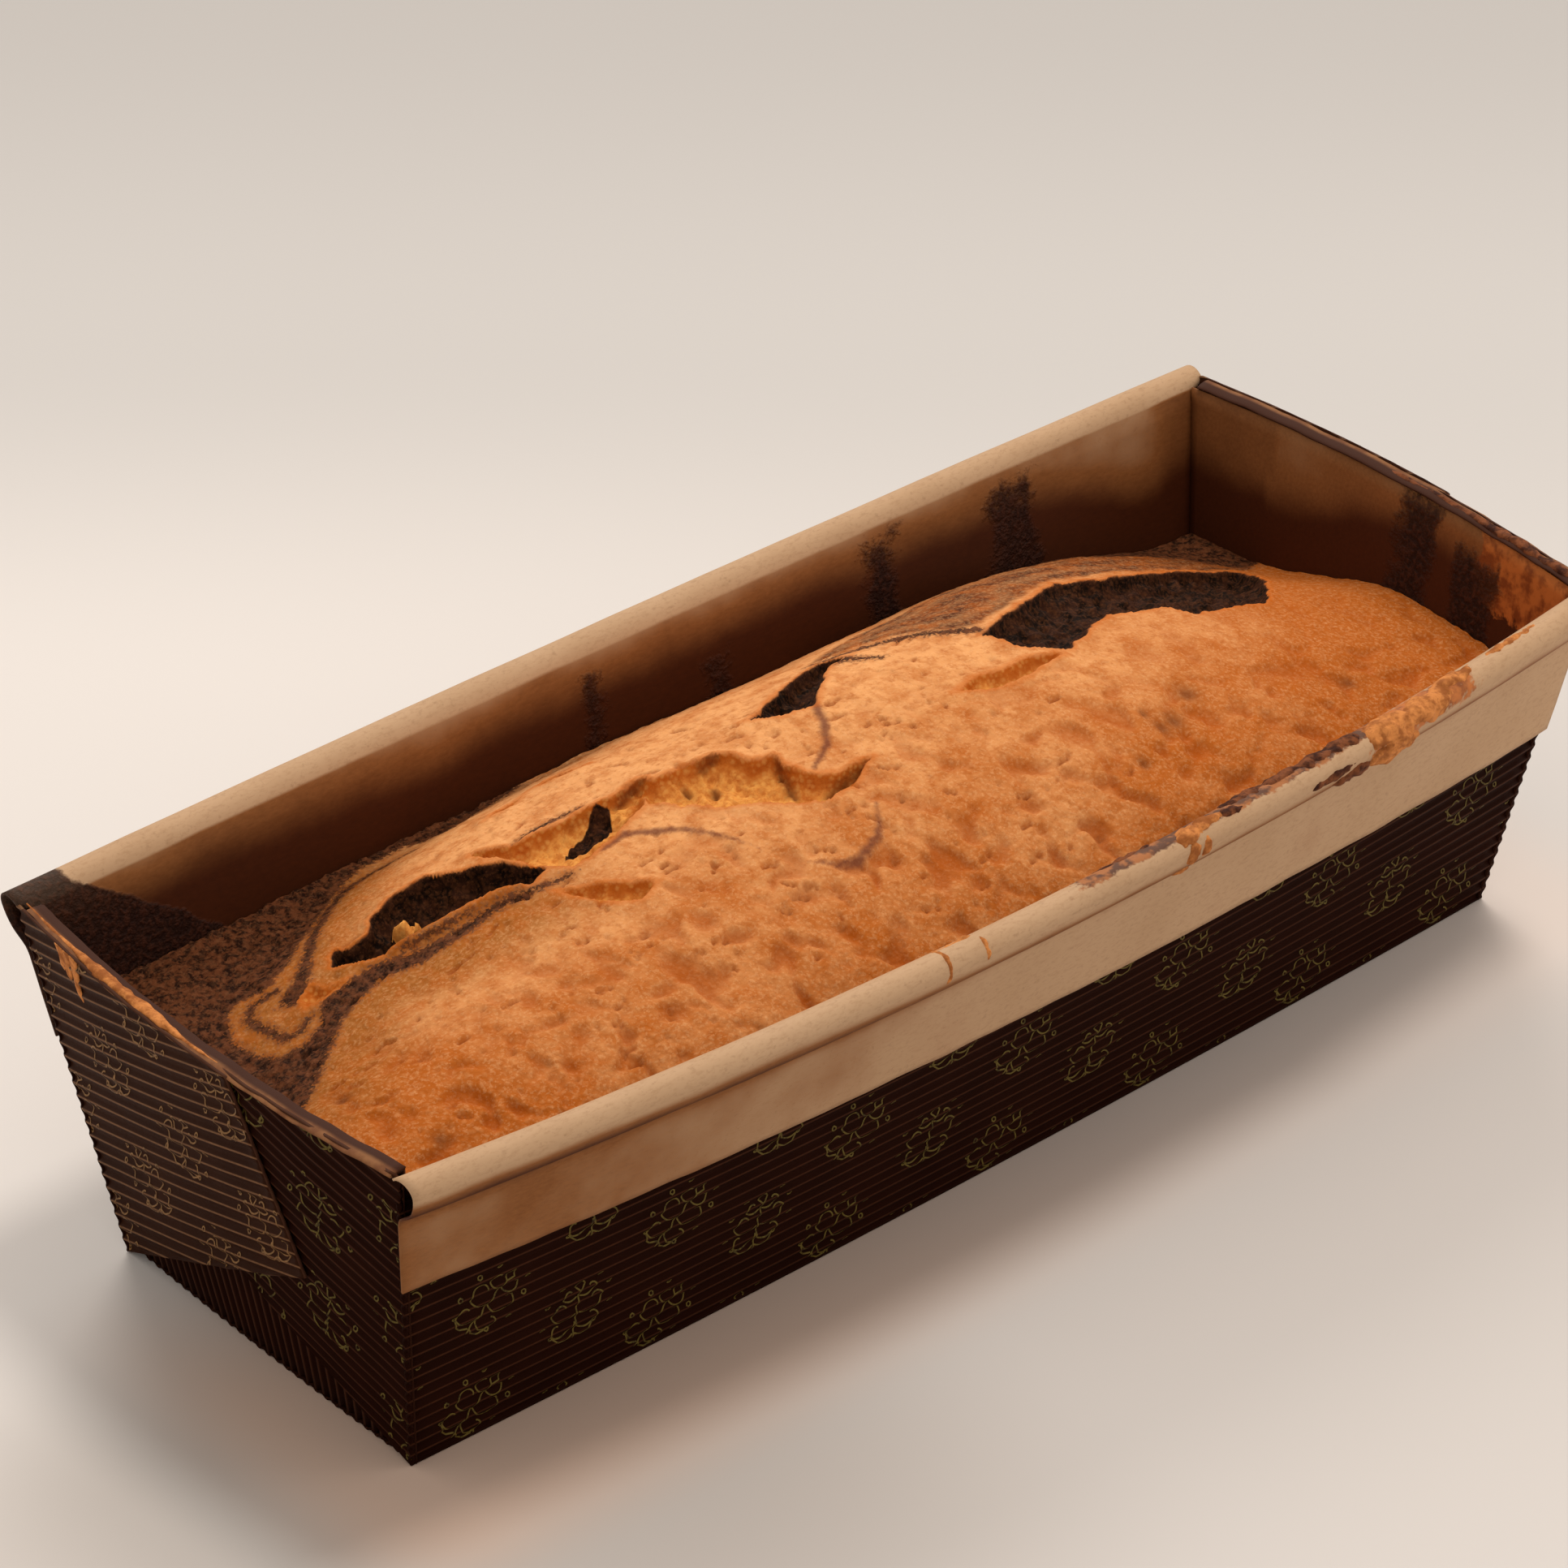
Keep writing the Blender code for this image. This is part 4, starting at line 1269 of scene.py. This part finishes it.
def end_rim_path(end, low_y, high_y, step=0.5, inset=0.7, z=54.9):
    y = np.arange(low_y, high_y, step)
    x = end_wall_x(end, share_across(y, z), z) - end * inset
    return points_at(x, y, z + 0.25 * waves(y, 0 * y, 7.0, 8))


def build_end_edges(cut_paper):
    """The cut top edges of the end walls, all their layers together."""
    for end in (-1, 1):
        path = end_rim_path(end, -35.4, 41.4, step=1.0, inset=0.5, z=54.7)
        bead(named("cut_edge", end), path, np.full(len(path), CUT_EDGE[0]), CUT_EDGE[1],
             cut_paper, 103, "kraft_liner", lumpy=0.06, inner_way=-float(end))


def build_rim_batter(golden, dark):
    """Batter baked onto the cut top edges of the end walls."""
    path = end_rim_path(-1, -3.0, 42.5, inset=0.1, z=55.0)
    y = path[:, 1]
    thick = 0.3 + 0.55 * smooth((y - 4) / 5) * smooth((30 - y) / 5)
    thick += 0.3 * waves(y, 0 * y, 5, 9) * smooth((40 - y) / 8) * smooth((y + 2) / 4)
    thick *= smooth((y + 3) / 4) * (0.35 + 0.65 * smooth((42 - y) / 10))
    bead("rim_batter_near", path, np.maximum(thick, LEAST_BEAD), BEAD_FLATTEN, golden, 101)
    for at, drop, wide in ((31.4, 4.2, 1.0), (29.9, 5.4, 0.9), (28.2, 7.6, 0.8)):
        z = np.linspace(55.0, 55.0 - drop, 14)
        x = end_wall_x(-1, share_across(at, 50.0), z) - FLAP_PROUD[1] + 0.15
        radius = wide * (1.1 - 0.5 * np.linspace(0, 1, 14)) * smooth((z - z[-1] + 0.2) / 1.2)
        path = points_at(x, at + 0.8 * waves(z, 0 * z + at, 4.0, 11), z)
        drip("rim_drip_%d" % round(at * 10), path, np.maximum(radius, 0.1), golden)
    path = end_rim_path(1, -35.0, 6.0)
    y = path[:, 1]
    thick = 0.5 + 0.4 * smooth((-12 - y) / 8) + 0.3 * waves(y, 0 * y, 6, 10)
    thick *= smooth((y + 35) / 3) * smooth((6 - y) / 4)
    bead("rim_batter_far", path, np.maximum(thick, LEAST_BEAD), BEAD_FLATTEN, dark, 102)


def drip(name, path, radii, material):
    """A run of batter down a wall: a tube whose section lies flat on it."""
    angle = np.linspace(0, 2 * math.pi, 10, endpoint=False)
    x = path[:, None, 0] + 0.35 * radii[:, None] * np.cos(angle)
    y = path[:, None, 1] + radii[:, None] * np.sin(angle)
    closed_tube(name, points_at(x, y, path[:, None, 2]), material, "baked_crust")


def roll_surface(side, x, s, lift):
    """A point over the long wall's rolled rim: s runs from the inner face over the top and down."""
    _, roll, tuck, _ = cuff_section()
    section = np.array([(-SHEET, 48.0), (-SHEET, 50.0)] + roll + tuck
                       + [(BAND_PROUD, z) for z in (48.0, 44.0, 40.0, 34.0)])
    at = distances(section)
    outset, z = (np.interp(s, at, part) for part in section.T)
    ahead, above = (np.interp(s + 0.3, at, part) - np.interp(s - 0.3, at, part)
                    for part in section.T)
    length = np.maximum(np.hypot(ahead, above), 1e-6)
    outset = outset - above / length * lift
    u = x / (end_wall_x(1, 1, ROLL_HEIGHT) + FLAP_PROUD[1])
    z = z + ahead / length * lift
    return points_at(x, side_wall_y(side, u, z) + side * outset, z)


def build_roll_batter(name, x_range, lumps, material, seed):
    """Batter that baked onto the near rim; lumps are (x, s, half length, half width, height)."""
    x, s = grid(np.arange(*x_range, LUMP_STEP), np.arange(2.0, 22.0, LUMP_STEP))
    height = np.full(x.shape, -LUMP_ROOT)
    wander = layered(x, s, 2.4, seed)
    for at, over, half_length, half_width, rise in lumps:
        away = ((x - at) / half_length) ** 2 + ((s - over) / half_width) ** 2
        shape = np.sqrt(np.clip(1 - away - 0.5 * wander, 0, 2))
        height = np.maximum(height, (rise + LUMP_ROOT) * shape - LUMP_ROOT)
    height += 0.22 * layered(x, s, 1.5, seed + 5) * (height > -0.3)
    points = roll_surface(-1, x, s, np.maximum(height, -0.3))
    points[..., 1] = np.maximum(points[..., 1], CAD_BOX[0][1] / MM)
    quads = grid_quads(*x.shape)
    shown = height.ravel() > -0.15
    make_used(name, points.reshape(-1, 3), quads[shown[quads].any(axis=1)], material,
              "baked_crust")


def build_batter():
    golden = batter_finish("golden_batter", (150, 86, 40), (210, 134, 72))
    dark = batter_finish("dark_batter", (56, 27, 17), (126, 72, 42))
    build_rim_batter(golden, dark)
    dark_lumps = [(31, 7.6, 5.0, 1.3, 0.4), (38, 8.0, 4.0, 1.3, 0.5), (44, 8.2, 5.0, 1.6, 0.5),
                  (50, 8.4, 4.0, 1.8, 0.5), (46, 13.2, 4.0, 1.0, 0.5), (51.5, 15.4, 4.0, 1.5, 0.7),
                  (27, 9.4, 2.0, 1.2, 0.4), (8, 7.4, 6.0, 0.9, 0.25)]
    build_roll_batter("roll_lumps_dark", (0, 60), dark_lumps, dark, 111)
    golden_lumps = [(18.5, 9.6, 2.4, 2.0, 0.6), (22.5, 9.0, 3.0, 1.4, 0.5),
                    (18.6, 13.0, 1.2, 2.4, 0.5), (21.0, 13.0, 0.8, 2.0, 0.4),
                    (18.0, 16.6, 1.6, 0.8, 0.5), (58, 10.4, 5.0, 3.2, 0.8),
                    (59, 14.6, 5.0, 3.0, 1.1), (66, 10.6, 6.0, 2.8, 0.7),
                    (73, 8.6, 5.0, 1.6, 0.5), (86, 8.4, 8.0, 0.9, 0.25)]
    build_roll_batter("roll_lumps_golden", (14, 96), golden_lumps, golden, 121)
    drips = [(-25.0, 11.0, 0.5, 4.2, 0.25), (-18.6, 11.4, 0.45, 3.2, 0.25),
             (-22, 7.8, 4.0, 0.6, 0.2)]
    build_roll_batter("roll_drips", (-30, -14), drips, golden, 131)


# ==== floor, light and camera ====
FLOOR_REACH = 6.0             # metres
FLOOR_SUNK = 0.00005
CASE_HALF = (0.100, 0.032)    # half the case's foot, in metres
WARM_LIGHT = (1.0, 0.94, 0.87)


def build_floor():
    """A pale table with painted light and shadow: lighter in a soft band behind the cake and towards
    the left, shaded past the case's near end and close round its near side.
    """
    look = Finish("pale_floor_look", roughness=0.8, specular=0.15)
    x, y = (look.node("SeparateXYZ", axis, {0: look.place}) for axis in (0, 1))
    away = look.scaled(x, 0.66, look.times(y, 0.75))
    left = look.scaled(x, -0.75, look.times(y, 0.66))
    far = look.mix(look.step(away, 0.2, 0.36), (200, 196, 193), (184, 180, 177))
    beside = look.beyond(x, CASE_HALF[0])
    before = look.beyond(y, CASE_HALF[1])
    gap = look.math("SQRT", look.plus(look.times(beside, beside), look.times(before, before)))
    to_far_end = look.step(x, -0.09, 0.07)
    sheltered = look.step(y, 0.035, -0.01)
    # painted shadow past the case's near end
    round_end = look.times(look.step(gap, 0.09, 0.03), look.step(to_far_end, 0.4, 0.0))
    near = look.over(
        look.mix(look.step(left, -0.16, 0.1), (212, 206, 202), (226, 220, 216)),
        ((202, 194, 188), round_end, sheltered),
        # painted shadow close round the case's near side, warm, lighter towards the far end
        (look.mix(to_far_end, (218, 190, 172), (222, 209, 201)), look.step(gap, 0.026, 0.006),
         sheltered))
    look.finish(look.mix(look.step(away, 0.10, 0.21), near, far))
    corners = [(FLOOR_REACH * i, FLOOR_REACH * j, -FLOOR_SUNK)
               for i, j in ((-1, -1), (1, -1), (1, 1), (-1, 1))]
    mesh = bpy.data.meshes.new("pale_floor")
    mesh.from_pydata(corners, [], [(0, 1, 2, 3)])
    mesh.materials.append(look.material)
    add_object("pale_floor", mesh)


def area_light(name, place, aim, size, power):
    lamp = bpy.data.lights.new(name, "AREA")
    lamp.shape = "DISK"
    lamp.size = size
    lamp.energy = power
    lamp.color = WARM_LIGHT
    back = np.array(place, float) - np.array(aim, float)
    back /= np.linalg.norm(back)
    side = np.cross((0.0, 0.0, 1.0), back)
    side /= np.linalg.norm(side)
    add_object(name, lamp).matrix_world = turned_to(side, np.cross(back, side), back, place)


def build_light():
    world = bpy.data.worlds.new("studio")
    world.use_nodes = True
    sky = world.node_tree.nodes["Background"]
    sky.inputs["Color"].default_value = (*WARM_LIGHT, 1.0)
    sky.inputs["Strength"].default_value = 0.66
    bpy.context.scene.world = world
    area_light("overhead", (0.6, -0.15, 2.6), (0, 0, 0.03), 0.6, 24.0)
    area_light("window", (1.3, 2.2, 2.0), (0, 0, 0.03), 1.8, 38.0)
    area_light("side", (0.34, -0.36, 0.16), (0.08, 0, 0.03), 0.2, 0.22)


def build_camera():
    """The photographed view, from the near end and side, looking down."""
    back = np.array([math.sin(AZIMUTH) * math.cos(ELEVATION),
                     -math.cos(AZIMUTH) * math.cos(ELEVATION), math.sin(ELEVATION)])
    right = np.cross(-back, (0.0, 0.0, 1.0))
    right /= np.linalg.norm(right)
    top = np.cross(right, -back)
    right, top = (math.cos(ROLL) * right + math.sin(ROLL) * top,
                  math.cos(ROLL) * top - math.sin(ROLL) * right)
    lens = bpy.data.cameras.new("view")
    lens.sensor_width = SENSOR
    lens.lens = FOCAL_PIXELS * SENSOR / PHOTO_SIZE
    lens.shift_x = SHIFT_PIXELS / PHOTO_SIZE
    lens.clip_start = 0.01
    camera = add_object("view", lens)
    camera.matrix_world = turned_to(right, top, back, np.array(EYE) * MM)
    bpy.context.scene.camera = camera


def main():
    build_camera()
    build_light()
    build_floor()
    build_cake()
    build_case()
    build_batter()
    bpy.context.scene.view_settings.view_transform = "Standard"


main()
